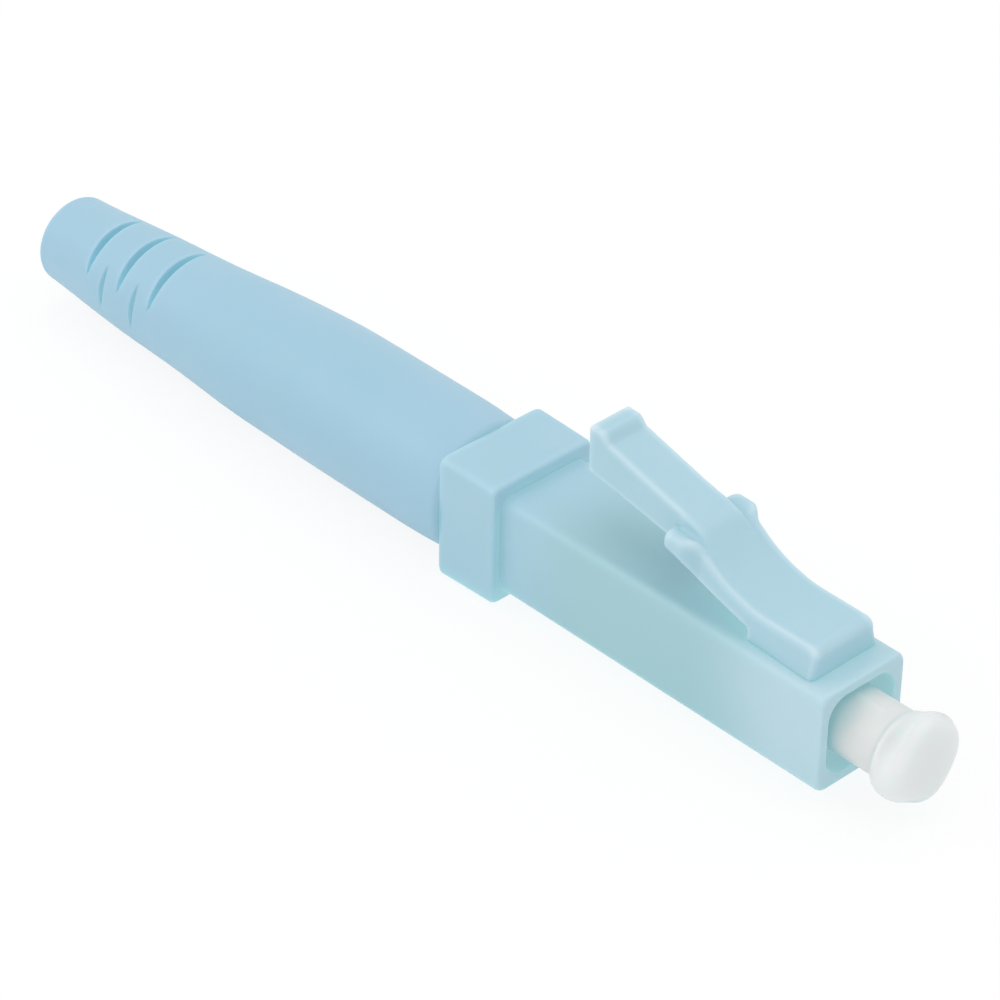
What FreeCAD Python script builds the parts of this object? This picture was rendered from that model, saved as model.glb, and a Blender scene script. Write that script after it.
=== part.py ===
"""LC fibre connector: one plug with its latch, ferrule train, crimp parts, boot and dust cap.

Every piece is drawn in plug coordinates: X runs along the ferrule towards the nose, Y across
the plug, Z up towards the latch, with zero at the centre of the housing's nose face. Each piece
is then placed by one shift, so that the origin of the part is at the bottom centre of its box.
"""
import FreeCAD
import Part
import Sketcher
import os

# Driving sizes in millimetres and degrees: alias, value, meaning.
SIZES = [
    ("body_width", 4.5, "plug housing across Y, set by the standard plug interface"),
    ("body_height", 4.5, "plug housing along Z"),
    ("body_length", 17.1, "nose face to the collar's front face"),
    ("body_edge_radius", 0.4, "long outer edges of the plug housing"),
    ("nose_edge_radius", 0.12, "outer edge of the nose face"),
    ("collar_length", 3.0, "square collar at the rear of the housing"),
    ("collar_width", 5.45, "collar across Y"),
    ("collar_rise", 0.62, "collar above the top of the housing"),
    ("collar_drop", 0.48, "collar below the bottom of the housing"),
    ("collar_edge_radius", 0.35, "outer edges of the collar"),
    ("opening_width", 3.55, "square opening in the nose"),
    ("opening_depth", 2.6, "nose face to the web that stops the flange"),
    ("opening_corner_radius", 0.9, "corners of the nose opening"),
    ("opening_rim_radius", 0.12, "edge of the nose opening"),
    ("web_thickness", 0.6, "web between the nose opening and the flange chamber"),
    ("web_hole_diameter", 1.9, "hole in the web that the ferrule passes through"),
    ("latch_nose_gap", 1.1, "nose face to the front of the latch base"),
    ("latch_width", 3.2, "latch base and shoulders across Y"),
    ("latch_base_height", 1.18, "top of the latch base above the housing"),
    ("latch_base_radius", 0.28, "front top edge of the latch base"),
    ("latch_edge_radius", 0.15, "side edges of the latch"),
    ("latch_flat_length", 2.4, "level top of the latch base"),
    ("latch_sweep_radius", 5.5, "hollow curve from the base up to the arm"),
    ("latch_root_reach", 3.65, "front of the latch base to the bending line"),
    ("latch_root_thickness", 0.78, "latch thickness at the bending line"),
    ("latch_root_clearance", 0.03, "gap around the round root of the lever"),
    ("latch_root_gap", 0.3, "gap root to the bending line"),
    ("shoulder_reach", 2.7, "bending line to the front of the side lugs"),
    ("lug_length", 1.2, "side lugs along X"),
    ("lug_span", 4.1, "over both side lugs across Y"),
    ("lug_height", 1.0, "side lugs along Z"),
    ("lug_drop", 0.3, "top of the lugs below the arm's top at their rear"),
    ("lug_edge_radius", 0.2, "ends of the side lugs"),
    ("arm_width", 2.12, "narrow rear arm across Y"),
    ("arm_reach", 8.65, "bending line to the free end of the arm"),
    ("arm_front_slope", 16.5, "underside of the arm ahead of the lugs' rear faces, degrees"),
    ("arm_rear_slope", 10.5, "underside of the arm behind the lugs, degrees"),
    ("arm_lug_thickness", 1.53, "arm thickness at the lugs' rear faces"),
    ("arm_end_thickness", 1.8, "arm thickness at the free end"),
    ("lip_height", 0.38, "thumb lip above the arm"),
    ("lip_fillet_radius", 0.3, "hollow between the thumb lip and the arm"),
    ("lip_length", 0.55, "thumb lip along X"),
    ("ferrule_diameter", 1.249, "ceramic ferrule"),
    ("ferrule_length", 7.0, "ceramic ferrule"),
    ("ferrule_seat_depth", 2.0, "length of the ferrule held in the flange"),
    ("ferrule_chamfer", 0.25, "lead-in at the ferrule's tip"),
    ("ferrule_bore", 0.126, "fibre hole through the ferrule"),
    ("flange_across", 2.9, "square flange across its flats"),
    ("flange_length", 1.8, "flange along X"),
    ("flange_corner_chamfer", 0.35, "corners of the flange"),
    ("flange_clearance", 0.1, "gap between the flange and its chamber, each side"),
    ("flange_tail_clearance", 0.2, "gap between the flange's tail and the spring round it"),
    ("flange_tail_gap", 0.8, "flange's tail to the crimp body when pushed fully back"),
    ("tube_diameter", 0.9, "guide tube outside"),
    ("tube_bore", 0.5, "guide tube inside"),
    ("tube_length", 9.0, "guide tube"),
    ("spring_wire", 0.35, "spring wire"),
    ("spring_clearance", 0.1, "gap between the spring and the wall round it"),
    ("spring_length", 6.0, "spring as fitted"),
    ("spring_turns", 7.0, "turns in the spring"),
    ("spring_end_gap", 0.03, "gap between the spring's ends and their seats"),
    ("float_travel", 1.0, "how far the ferrule can be pushed back"),
    ("stop_diameter", 3.5, "front of the crimp body, inside the housing"),
    ("stop_clearance", 0.02, "gap around the front of the crimp body"),
    ("stop_flange_diameter", 4.3, "shoulder of the crimp body, in the collar's rear face"),
    ("stop_flange_length", 0.8, "shoulder of the crimp body"),
    ("post_diameter", 3.0, "crimp post behind the collar"),
    ("post_length", 5.0, "crimp post behind the collar"),
    ("post_bore_clearance", 0.3, "gap between the guide tube and the hole through the crimp body"),
    ("knurl_depth", 0.12, "grip grooves on the crimp post"),
    ("knurl_pitch", 0.7, "grip grooves on the crimp post"),
    ("sleeve_clearance", 0.13, "gap between the crimp post and the sleeve"),
    ("sleeve_wall", 0.32, "crimp sleeve wall"),
    ("sleeve_end_gap", 0.28, "end of the crimp post to the step in the sleeve"),
    ("sleeve_neck_length", 3.2, "narrow part of the crimp sleeve"),
    ("boot_clearance", 0.1, "gap around the crimp sleeve inside the boot"),
    ("boot_mouth_diameter", 5.72, "boot at the collar"),
    ("boot_diameter", 5.97, "barrel of the boot"),
    ("boot_mouth_length", 1.8, "collar to the full barrel"),
    ("boot_barrel_length", 7.2, "full barrel"),
    ("boot_fall_length", 7.9, "barrel to the slit zone"),
    ("boot_fall_middle_diameter", 5.7, "boot half way along the fall"),
    ("boot_slit_front_diameter", 5.08, "boot where the slit zone starts"),
    ("boot_slit_middle_diameter", 4.68, "boot half way along the slit zone"),
    ("boot_slit_rear_diameter", 4.05, "boot where the slit zone ends"),
    ("boot_slit_zone_length", 8.0, "slit zone"),
    ("boot_tail_length", 1.2, "slit zone to the tail end"),
    ("boot_tail_diameter", 3.84, "boot at its tail end"),
    ("boot_rim_radius", 0.35, "edge of the boot's tail end"),
    ("boot_clocking", 27.0, "turn of the boot about the plug's axis, degrees"),
    ("cable_diameter", 2.0, "jacket of the cable that the plug takes"),
    ("cable_clearance", 0.05, "gap around the cable in the sleeve's neck and in the boot"),
    ("slit_first", 1.5, "start of the slit zone to the first slit"),
    ("slit_pitch", 1.03, "one slit to the next, on alternate sides"),
    ("slit_depth", 0.75, "depth of a slit"),
    ("slit_mouth", 0.42, "width of a slit at the surface"),
    ("slit_floor", 0.12, "width of a slit at its floor"),
    ("cap_diameter", 2.86, "dust cap's tube"),
    ("cap_bore_clearance", 0.025, "gap between the dust cap and the ferrule"),
    ("cap_insertion", 2.3, "dust cap's tube behind the nose face"),
    ("cap_head_start", 1.95, "nose face to the back of the dust cap's head"),
    ("cap_head_end", 3.03, "nose face to the widest part of the head"),
    ("cap_crown", 0.42, "rounded front of the dust cap's head"),
    ("cap_crown_land", 0.02, "straight rim left beside the rounded front"),
    ("cap_head_back_diameter", 3.2, "back of the dust cap's head"),
    ("cap_head_diameter", 3.72, "widest part of the dust cap's head"),
    ("cap_head_offset", 0.17, "back of the head off the axis, in Y and Z"),
    ("cap_tip_gap", 0.2, "ferrule tip to the closed end of the dust cap"),
]

# How many slits the boot has, and how many grip grooves the crimp post has.
SLITS = 5
KNURLS = 6

doc = FreeCAD.newDocument("lc_fibre_connector")
sheet = doc.addObject("Spreadsheet::Sheet", "Sizes")
for row, (alias, amount, meaning) in enumerate(SIZES, start=1):
    sheet.set("A%d" % row, alias)
    sheet.set("B%d" % row, str(amount))
    sheet.set("C%d" % row, meaning)
    sheet.setAlias("B%d" % row, alias)
doc.recompute()

# Places along the plug, written from the driving sizes. Behind the nose face X is negative.
COLLAR_FRONT = "(-Sizes.body_length)"
COLLAR_REAR = "(-Sizes.body_length - Sizes.collar_length)"
BOOT_LENGTH = (
    "(Sizes.boot_mouth_length + Sizes.boot_barrel_length + Sizes.boot_fall_length"
    " + Sizes.boot_slit_zone_length + Sizes.boot_tail_length)"
)
FALL_START = "Sizes.boot_mouth_length + Sizes.boot_barrel_length"
SLIT_START = FALL_START + " + Sizes.boot_fall_length"
WEB_REAR = "(-Sizes.opening_depth - Sizes.web_thickness)"
FLANGE_REAR = "(%s - Sizes.flange_length)" % WEB_REAR
FERRULE_REAR = "(%s - Sizes.ferrule_seat_depth)" % WEB_REAR
TAIL_LENGTH = "(Sizes.spring_length - Sizes.float_travel - Sizes.flange_tail_gap)"
STOP_FRONT = "(%s - Sizes.spring_length)" % FLANGE_REAR
STOP_SHOULDER = "(%s + Sizes.stop_flange_length)" % COLLAR_REAR
FERRULE_TIP = "(%s - Sizes.ferrule_seat_depth + Sizes.ferrule_length)" % WEB_REAR
BODY_TOP = "(Sizes.body_height / 2)"
LATCH_FRONT = "(-Sizes.latch_nose_gap)"
PIVOT_X = "(-Sizes.latch_nose_gap - Sizes.latch_root_reach)"
BASE_TOP = "(Sizes.body_height / 2 + Sizes.latch_base_height)"
SWEEP_X = "(-Sizes.latch_nose_gap - Sizes.latch_flat_length)"
SWEEP_Z = "(%s + Sizes.latch_sweep_radius)" % BASE_TOP
ROOT_TOP = (
    "(%s - sqrt(Sizes.latch_sweep_radius^2 - (Sizes.latch_root_reach - Sizes.latch_flat_length)^2))"
    % SWEEP_Z
)
PIVOT_Z = "(%s - Sizes.latch_root_thickness / 2)" % ROOT_TOP
ROOT_RADIUS = "(Sizes.latch_root_thickness / 2)"
CAP_FRONT = "(Sizes.cap_head_end + Sizes.cap_crown)"

# Sizes of what fits inside or round another piece.
CHAMBER_WIDTH = "(Sizes.flange_across + 2 * Sizes.flange_clearance)"
SPRING_RADIUS = "(%s / 2 - Sizes.spring_clearance)" % CHAMBER_WIDTH
TAIL_RADIUS = "(%s - Sizes.spring_wire - Sizes.flange_tail_clearance)" % SPRING_RADIUS
POST_BORE_RADIUS = "(Sizes.tube_diameter / 2 + Sizes.post_bore_clearance)"
SLEEVE_BORE_RADIUS = "(Sizes.post_diameter / 2 + Sizes.sleeve_clearance)"
SLEEVE_RADIUS = "(%s + Sizes.sleeve_wall)" % SLEEVE_BORE_RADIUS
CABLE_HOLE_RADIUS = "(Sizes.cable_diameter / 2 + Sizes.cable_clearance)"
SLEEVE_STEP = "(%s - Sizes.post_length - Sizes.sleeve_end_gap - Sizes.sleeve_wall)" % COLLAR_REAR
SLEEVE_REAR = "(%s - Sizes.sleeve_neck_length)" % SLEEVE_STEP

# The shift from plug coordinates to the part's own origin.
SHIFT_X = "(Sizes.body_length + Sizes.collar_length + %s - %s) / 2" % (BOOT_LENGTH, CAP_FRONT)
SHIFT_Z = "Sizes.boot_diameter / 2"


def size(expression):
    """Number that an expression of the sheet stands for."""
    return float(sheet.evalExpression(expression))


def new_body(label):
    """Empty body in plug coordinates, shifted to the part's origin."""
    body = doc.addObject("PartDesign::Body", label)
    body.Label = label
    body.setExpression("Placement.Base.x", SHIFT_X)
    body.setExpression("Placement.Base.z", SHIFT_Z)
    return body


def new_sketch(body, role, name, offset=None):
    """Sketch on one of the body's own planes, moved along its normal by an expression."""
    sketch = body.newObject("Sketcher::SketchObject", name)
    plane = [item for item in body.Origin.OriginFeatures if item.Role == role][0]
    sketch.AttachmentSupport = [(plane, "")]
    sketch.MapMode = "FlatFace"
    if offset:
        sketch.setExpression("AttachmentOffset.Base.z", offset)
    return sketch


def pin_point(sketch, item, end, across, up):
    """Hold one end of a sketch item at a place given by two expressions."""
    for kind, expression in (("DistanceX", across), ("DistanceY", up)):
        number = sketch.addConstraint(
            Sketcher.Constraint(kind, -1, 1, item, end, size(expression))
        )
        sketch.setExpression("Constraints[%d]" % number, expression)


def add_outline(sketch, corners):
    """Closed outline of straight sides through corners given as pairs of expressions."""
    places = [FreeCAD.Vector(size(across), size(up), 0) for across, up in corners]
    first = sketch.GeometryCount
    for number, place in enumerate(places):
        sketch.addGeometry(Part.LineSegment(place, places[(number + 1) % len(places)]), False)
    for number, (across, up) in enumerate(corners):
        following = (number + 1) % len(corners)
        sketch.addConstraint(
            Sketcher.Constraint("Coincident", first + number, 2, first + following, 1)
        )
        pin_point(sketch, first + number, 1, across, up)


def add_circle(sketch, across, up, radius):
    """Circle at a place and of a radius given by expressions."""
    centre = FreeCAD.Vector(size(across), size(up), 0)
    item = sketch.addGeometry(Part.Circle(centre, FreeCAD.Vector(0, 0, 1), size(radius)), False)
    pin_point(sketch, item, 3, across, up)
    number = sketch.addConstraint(Sketcher.Constraint("Radius", item, size(radius)))
    sketch.setExpression("Constraints[%d]" % number, radius)


def box_outline(width, low, high):
    """Corners of a rectangle centred across the sketch, between two heights."""
    left, right = "(-%s / 2)" % width, "(%s / 2)" % width
    return [(left, low), (right, low), (right, high), (left, high)]


def pad(body, sketch, length, back=True, both_ways=False):
    """Extrude a sketch, backwards along its normal or to both sides of its plane."""
    feature = body.newObject("PartDesign::Pad", sketch.Name + "Pad")
    feature.Profile = sketch
    feature.setExpression("Length", length)
    feature.Reversed = back and not both_ways
    feature.Midplane = both_ways
    doc.recompute()
    return feature


def cut(body, sketch, length=None):
    """Cut with a sketch: backwards to a depth, or right through to both sides of its plane."""
    before = body.Shape.Volume
    feature = body.newObject("PartDesign::Pocket", sketch.Name + "Cut")
    feature.Profile = sketch
    if length:
        feature.setExpression("Length", length)
    else:
        feature.Type = "ThroughAll"
        feature.Midplane = True
    doc.recompute()
    if body.Shape.Volume >= before:
        raise RuntimeError("%s cuts nothing" % feature.Name)
    return feature


def turn(body, name, corners, kind="PartDesign::Revolution"):
    """Turn an outline of length along X and radius about the X axis, to add or to cut."""
    sketch = new_sketch(body, "XZ_Plane", name)
    add_outline(sketch, corners)
    before = body.Shape.Volume if body.Tip else 0
    feature = body.newObject(kind, name + "Turn")
    feature.Profile = sketch
    feature.ReferenceAxis = (sketch, ["H_Axis"])
    feature.Angle = 360
    doc.recompute()
    if kind == "PartDesign::Groove" and body.Shape.Volume >= before:
        raise RuntimeError("%s cuts nothing" % feature.Name)
    return feature


def tube_outline(front, rear, inside, outside):
    """Outline of a tube's wall between two places, from radius to radius."""
    return [(front, inside), (front, outside), (rear, outside), (rear, inside)]


def dress(body, name, test, amount, kind="PartDesign::Fillet"):
    """Round or chamfer the edges of the newest feature that pass a test."""
    doc.recompute()
    base = body.Tip
    names = [
        "Edge%d" % number
        for number, edge in enumerate(base.Shape.Edges, start=1)
        if test(edge)
    ]
    if not names:
        raise RuntimeError("%s finds no edge" % name)
    feature = body.newObject(kind, name)
    feature.Base = (base, names)
    feature.setExpression("Radius" if kind.endswith("Fillet") else "Size", amount)
    doc.recompute()
    return feature


def near(one, other):
    """Whether two lengths agree."""
    return abs(one - other) < 1e-4


def runs_along(edge, axis):
    """Whether a straight edge runs along X, Y or Z."""
    box = edge.BoundBox
    spans = {"x": box.XLength, "y": box.YLength, "z": box.ZLength}
    return spans[axis] > 1e-3 and all(spans[key] < 1e-3 for key in spans if key != axis)


def lies_at(edge, axis, place):
    """Whether a whole edge lies in one plane square to an axis."""
    box = edge.BoundBox
    ends = {"x": (box.XMin, box.XMax), "y": (box.YMin, box.YMax), "z": (box.ZMin, box.ZMax)}[axis]
    return near(ends[0], place) and near(ends[1], place)


def is_arc(edge, radius):
    """Whether an edge is part of a circle of the given radius."""
    return isinstance(edge.Curve, Part.Circle) and near(edge.Curve.Radius, radius)


def on_side(edge, place):
    """Whether a whole edge lies in one of two planes at equal distances either side of Y zero."""
    return lies_at(edge, "y", place) or lies_at(edge, "y", -place)


def make_housing():
    """Plug body with its nose opening, latch base and square rear collar, moulded in one."""
    body = new_body("housing")
    half_height = size("Sizes.body_height / 2")

    barrel = new_sketch(body, "YZ_Plane", "PlugSection")
    add_outline(barrel, box_outline("Sizes.body_width", "(-%s)" % BODY_TOP, BODY_TOP))
    pad(body, barrel, "Sizes.body_length")
    dress(body, "PlugEdges", lambda edge: runs_along(edge, "x"), "Sizes.body_edge_radius")
    dress(body, "NoseEdge", lambda edge: lies_at(edge, "x", 0), "Sizes.nose_edge_radius")

    collar = new_sketch(body, "YZ_Plane", "CollarSection", COLLAR_FRONT)
    collar_low = "(-%s - Sizes.collar_drop)" % BODY_TOP
    collar_high = "(%s + Sizes.collar_rise)" % BODY_TOP
    add_outline(collar, box_outline("Sizes.collar_width", collar_low, collar_high))
    pad(body, collar, "Sizes.collar_length")
    half_collar = size("Sizes.collar_width / 2")
    sides = (size(collar_low), size(collar_high))

    def on_collar(edge):
        at_side = lies_at(edge, "y", half_collar) or lies_at(edge, "y", -half_collar)
        return at_side or lies_at(edge, "z", sides[0]) or lies_at(edge, "z", sides[1])

    dress(body, "CollarEdges", on_collar, "Sizes.collar_edge_radius")

    base = new_sketch(body, "XZ_Plane", "LatchBase")
    inside = "(%s - Sizes.body_edge_radius)" % BODY_TOP
    add_outline(base, [
        (LATCH_FRONT, inside), (LATCH_FRONT, BASE_TOP), (SWEEP_X, BASE_TOP),
        (PIVOT_X, "(%s + Sizes.latch_root_thickness)" % ROOT_TOP), (PIVOT_X, inside),
    ])
    pad(body, base, "Sizes.latch_width", both_ways=True)
    sweep = new_sketch(body, "XZ_Plane", "BaseSweep")
    add_circle(sweep, SWEEP_X, SWEEP_Z, "Sizes.latch_sweep_radius")
    cut(body, sweep)
    seat = new_sketch(body, "XZ_Plane", "RootSeat")
    add_circle(seat, PIVOT_X, PIVOT_Z, "(%s + Sizes.latch_root_clearance)" % ROOT_RADIUS)
    cut(body, seat)
    gap = new_sketch(body, "XZ_Plane", "RootGap")
    gap_front = "(%s + Sizes.latch_root_gap)" % PIVOT_X
    add_outline(gap, [
        (gap_front, BODY_TOP), (gap_front, PIVOT_Z), (COLLAR_FRONT, PIVOT_Z), (COLLAR_FRONT, BODY_TOP),
    ])
    cut(body, gap)
    front = size(LATCH_FRONT)
    base_top = size(BASE_TOP)
    dress(
        body, "LatchBaseNose",
        lambda edge: lies_at(edge, "x", front) and lies_at(edge, "z", base_top),
        "Sizes.latch_base_radius",
    )
    half_latch = size("Sizes.latch_width / 2")
    sweep_radius = size("Sizes.latch_sweep_radius")
    dress(
        body, "LatchBaseEdges",
        lambda edge: on_side(edge, half_latch)
        and (lies_at(edge, "z", base_top) or is_arc(edge, sweep_radius)),
        "Sizes.latch_edge_radius",
    )

    opening = new_sketch(body, "YZ_Plane", "NoseOpening")
    half_opening = "(Sizes.opening_width / 2)"
    add_outline(opening, box_outline("Sizes.opening_width", "(-%s)" % half_opening, half_opening))
    cut(body, opening, "Sizes.opening_depth")
    half = size(half_opening)
    dress(
        body, "OpeningCorners",
        lambda edge: runs_along(edge, "x") and near(abs(edge.BoundBox.YMin), half)
        and near(abs(edge.BoundBox.ZMin), half),
        "Sizes.opening_corner_radius",
    )
    dress(
        body, "OpeningRim",
        lambda edge: lies_at(edge, "x", 0) and edge.BoundBox.YMin > -half - 0.01
        and edge.BoundBox.YMax < half + 0.01,
        "Sizes.opening_rim_radius",
    )

    chamber = new_sketch(body, "YZ_Plane", "FlangeChamber", WEB_REAR)
    half_chamber = "(%s / 2)" % CHAMBER_WIDTH
    add_outline(chamber, box_outline(CHAMBER_WIDTH, "(-%s)" % half_chamber, half_chamber))
    cut(body, chamber, "(Sizes.flange_length + Sizes.float_travel + Sizes.flange_clearance)")
    stop_radius = "(Sizes.stop_diameter / 2 + Sizes.stop_clearance)"
    shoulder_radius = "(Sizes.stop_flange_diameter / 2 + Sizes.stop_clearance)"
    web_inside = "(-Sizes.opening_depth / 2)"
    chamber_middle = "(%s - Sizes.flange_length / 2)" % WEB_REAR
    turn(body, "InnerBores", [
        (web_inside, "0"), (web_inside, "(Sizes.web_hole_diameter / 2)"),
        (chamber_middle, "(Sizes.web_hole_diameter / 2)"), (chamber_middle, half_chamber),
        (STOP_FRONT, half_chamber), (STOP_FRONT, stop_radius),
        (STOP_SHOULDER, stop_radius), (STOP_SHOULDER, shoulder_radius),
        (COLLAR_REAR, shoulder_radius), (COLLAR_REAR, "0"),
    ], "PartDesign::Groove")
    return body


def make_latch_lever():
    """Lever of the latch: round root, sweep, side lugs, narrow arm and thumb lip."""
    body = new_body("latch_lever")
    slope_front = "tan(Sizes.arm_front_slope * 1 deg)"
    slope_rear = "tan(Sizes.arm_rear_slope * 1 deg)"
    root_x = "(%s - %s * sin(Sizes.arm_front_slope * 1 deg))" % (PIVOT_X, ROOT_RADIUS)
    root_low = "(%s - %s * cos(Sizes.arm_front_slope * 1 deg))" % (PIVOT_Z, ROOT_RADIUS)
    lug_front = "(%s - Sizes.shoulder_reach)" % PIVOT_X
    lug_rear = "(%s - Sizes.lug_length)" % lug_front
    end = "(%s - Sizes.arm_reach)" % PIVOT_X
    lug_low = "(%s + (%s - %s) * %s)" % (root_low, root_x, lug_rear, slope_front)
    end_low = "(%s + (%s - %s) * %s)" % (lug_low, lug_rear, end, slope_rear)
    lug_top = "(%s + Sizes.arm_lug_thickness)" % lug_low
    end_top = "(%s + Sizes.arm_end_thickness)" % end_low
    top_slope = "((%s - %s) / (%s - %s))" % (end_top, lug_top, lug_rear, end)
    root_high = "(%s - (%s - %s) * %s)" % (lug_top, PIVOT_X, lug_rear, top_slope)
    lip_front = "(%s + Sizes.lip_length)" % end
    lip_foot = "(%s - Sizes.lip_length * %s)" % (end_top, top_slope)
    lip_top = "(%s + Sizes.lip_height)" % end_top

    arm = new_sketch(body, "XZ_Plane", "ArmProfile")
    add_outline(arm, [
        (PIVOT_X, PIVOT_Z), (root_x, root_low), (lug_rear, lug_low), (end, end_low),
        (end, lip_top), (lip_front, lip_top), (lip_front, lip_foot), (PIVOT_X, root_high),
    ])
    pad(body, arm, "Sizes.arm_width", both_ways=True)
    lip_x, lip_z = size(lip_front), size(lip_foot)
    dress(
        body, "LipFillet",
        lambda edge: lies_at(edge, "x", lip_x) and lies_at(edge, "z", lip_z),
        "Sizes.lip_fillet_radius",
    )
    half_arm = size("Sizes.arm_width / 2")
    dress(body, "ArmEdges", lambda edge: on_side(edge, half_arm), "Sizes.latch_edge_radius")

    lug_front_low = "(%s + Sizes.shoulder_reach * %s)" % (root_low, slope_front)
    lug_front_top = "(%s - Sizes.lug_length * %s)" % (lug_top, top_slope)
    shoulders = new_sketch(body, "XZ_Plane", "ShoulderProfile")
    add_outline(shoulders, [
        (PIVOT_X, PIVOT_Z), (root_x, root_low), (lug_front, lug_front_low),
        (lug_front, lug_front_top), (PIVOT_X, root_high),
    ])
    pad(body, shoulders, "Sizes.latch_width", both_ways=True)
    root = new_sketch(body, "XZ_Plane", "RoundRoot")
    add_circle(root, PIVOT_X, PIVOT_Z, ROOT_RADIUS)
    pad(body, root, "Sizes.latch_width", both_ways=True)
    sweep = new_sketch(body, "XZ_Plane", "LeverSweep")
    add_circle(sweep, SWEEP_X, SWEEP_Z, "Sizes.latch_sweep_radius")
    cut(body, sweep)
    half_latch = size("Sizes.latch_width / 2")
    sweep_radius = size("Sizes.latch_sweep_radius")
    dress(
        body, "SweepEdges",
        lambda edge: on_side(edge, half_latch) and is_arc(edge, sweep_radius),
        "Sizes.latch_edge_radius",
    )

    lug_lift = "(%s - Sizes.lug_drop)" % lug_top
    lug_base = "(%s - Sizes.lug_height)" % lug_lift
    lugs = new_sketch(body, "XZ_Plane", "LugProfile")
    add_outline(lugs, [
        (lug_front, lug_base), (lug_front, lug_lift), (lug_rear, lug_lift), (lug_rear, lug_base),
    ])
    pad(body, lugs, "Sizes.lug_span", both_ways=True)
    half_span = size("Sizes.lug_span / 2")
    dress(body, "LugEdges", lambda edge: on_side(edge, half_span), "Sizes.lug_edge_radius")
    return body


def make_ferrule():
    """Ceramic ferrule with its fibre hole and a lead-in at the tip."""
    body = new_body("ferrule")
    rear = "(%s - Sizes.ferrule_seat_depth)" % WEB_REAR
    inside, outside = "(Sizes.ferrule_bore / 2)", "(Sizes.ferrule_diameter / 2)"
    turn(body, "FerruleWall", [
        (rear, inside), (rear, outside), ("(%s - Sizes.ferrule_chamfer)" % FERRULE_TIP, outside),
        (FERRULE_TIP, "(%s - Sizes.ferrule_chamfer / 2)" % outside), (FERRULE_TIP, inside),
    ])
    return body


def make_ferrule_flange():
    """Square flange that carries the ferrule, with a round tail inside the spring."""
    body = new_body("ferrule_flange")
    square = new_sketch(body, "YZ_Plane", "FlangeSquare", WEB_REAR)
    half = "(Sizes.flange_across / 2)"
    add_outline(square, box_outline("Sizes.flange_across", "(-%s)" % half, half))
    pad(body, square, "Sizes.flange_length")
    dress(
        body, "FlangeCorners", lambda edge: runs_along(edge, "x"),
        "Sizes.flange_corner_chamfer", "PartDesign::Chamfer",
    )
    tail = new_sketch(body, "YZ_Plane", "FlangeTail", FLANGE_REAR)
    add_circle(tail, "0", "0", TAIL_RADIUS)
    pad(body, tail, TAIL_LENGTH)
    seat = new_sketch(body, "YZ_Plane", "FerruleSeat", WEB_REAR)
    add_circle(seat, "0", "0", "Sizes.ferrule_diameter / 2")
    cut(body, seat, "Sizes.ferrule_seat_depth")
    bore = new_sketch(body, "YZ_Plane", "TubeSeat", FERRULE_REAR)
    add_circle(bore, "0", "0", "Sizes.tube_diameter / 2")
    cut(body, bore, "(Sizes.flange_length + %s)" % TAIL_LENGTH)
    return body


def make_guide_tube():
    """Thin tube that leads the fibre from the crimp body into the ferrule."""
    body = new_body("guide_tube")
    rear = "(%s - Sizes.tube_length)" % FERRULE_REAR
    turn(body, "TubeWall", tube_outline(FERRULE_REAR, rear, "Sizes.tube_bore / 2", "Sizes.tube_diameter / 2"))
    return body


def make_spring():
    """Coil spring between the flange and the crimp body."""
    body = new_body("spring")
    wire = new_sketch(body, "XZ_Plane", "WireSection")
    add_circle(
        wire, "(%s + Sizes.spring_wire / 2 + Sizes.spring_end_gap)" % STOP_FRONT,
        "(%s - Sizes.spring_wire / 2)" % SPRING_RADIUS, "Sizes.spring_wire / 2",
    )
    coil = body.newObject("PartDesign::AdditiveHelix", "SpringCoil")
    coil.Profile = wire
    coil.ReferenceAxis = (wire, ["H_Axis"])
    coil.Mode = "height-turns-angle"
    coil.setExpression("Height", "Sizes.spring_length - Sizes.spring_wire - 2 * Sizes.spring_end_gap")
    coil.setExpression("Turns", "Sizes.spring_turns")
    doc.recompute()
    return body


def make_crimp_body():
    """Metal body pressed into the collar: it stops the spring and carries the crimp post."""
    body = new_body("crimp_body")
    stop, shoulder, post = (
        "(Sizes.%s / 2)" % name for name in ("stop_diameter", "stop_flange_diameter", "post_diameter")
    )
    post_rear = "(%s - Sizes.post_length)" % COLLAR_REAR
    corners = [
        (STOP_FRONT, POST_BORE_RADIUS), (STOP_FRONT, stop),
        (STOP_SHOULDER, stop), (STOP_SHOULDER, shoulder), (COLLAR_REAR, shoulder), (COLLAR_REAR, post),
        (post_rear, post), (post_rear, POST_BORE_RADIUS),
    ]
    turn(body, "CrimpBodyWall", corners)
    valley = "(%s - Sizes.knurl_depth)" % post
    for number in range(KNURLS):
        middle = "(%s - %d * Sizes.knurl_pitch)" % (COLLAR_REAR, number + 1)
        turn(body, "Knurl%d" % (number + 1), [
            ("(%s + Sizes.knurl_depth)" % middle, post), (middle, valley),
            ("(%s - Sizes.knurl_depth)" % middle, post),
        ], "PartDesign::Groove")
    return body


def make_crimp_sleeve():
    """Crimp sleeve: wide over the post, narrow over the cable jacket."""
    body = new_body("crimp_sleeve")
    neck_outside = "(%s + Sizes.sleeve_wall)" % CABLE_HOLE_RADIUS
    inner_step = "(%s + Sizes.sleeve_wall)" % SLEEVE_STEP
    turn(body, "SleeveWall", [
        (COLLAR_REAR, SLEEVE_BORE_RADIUS), (COLLAR_REAR, SLEEVE_RADIUS), (SLEEVE_STEP, SLEEVE_RADIUS),
        (SLEEVE_STEP, neck_outside), (SLEEVE_REAR, neck_outside), (SLEEVE_REAR, CABLE_HOLE_RADIUS),
        (inner_step, CABLE_HOLE_RADIUS), (inner_step, SLEEVE_BORE_RADIUS),
    ])
    return body


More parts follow.
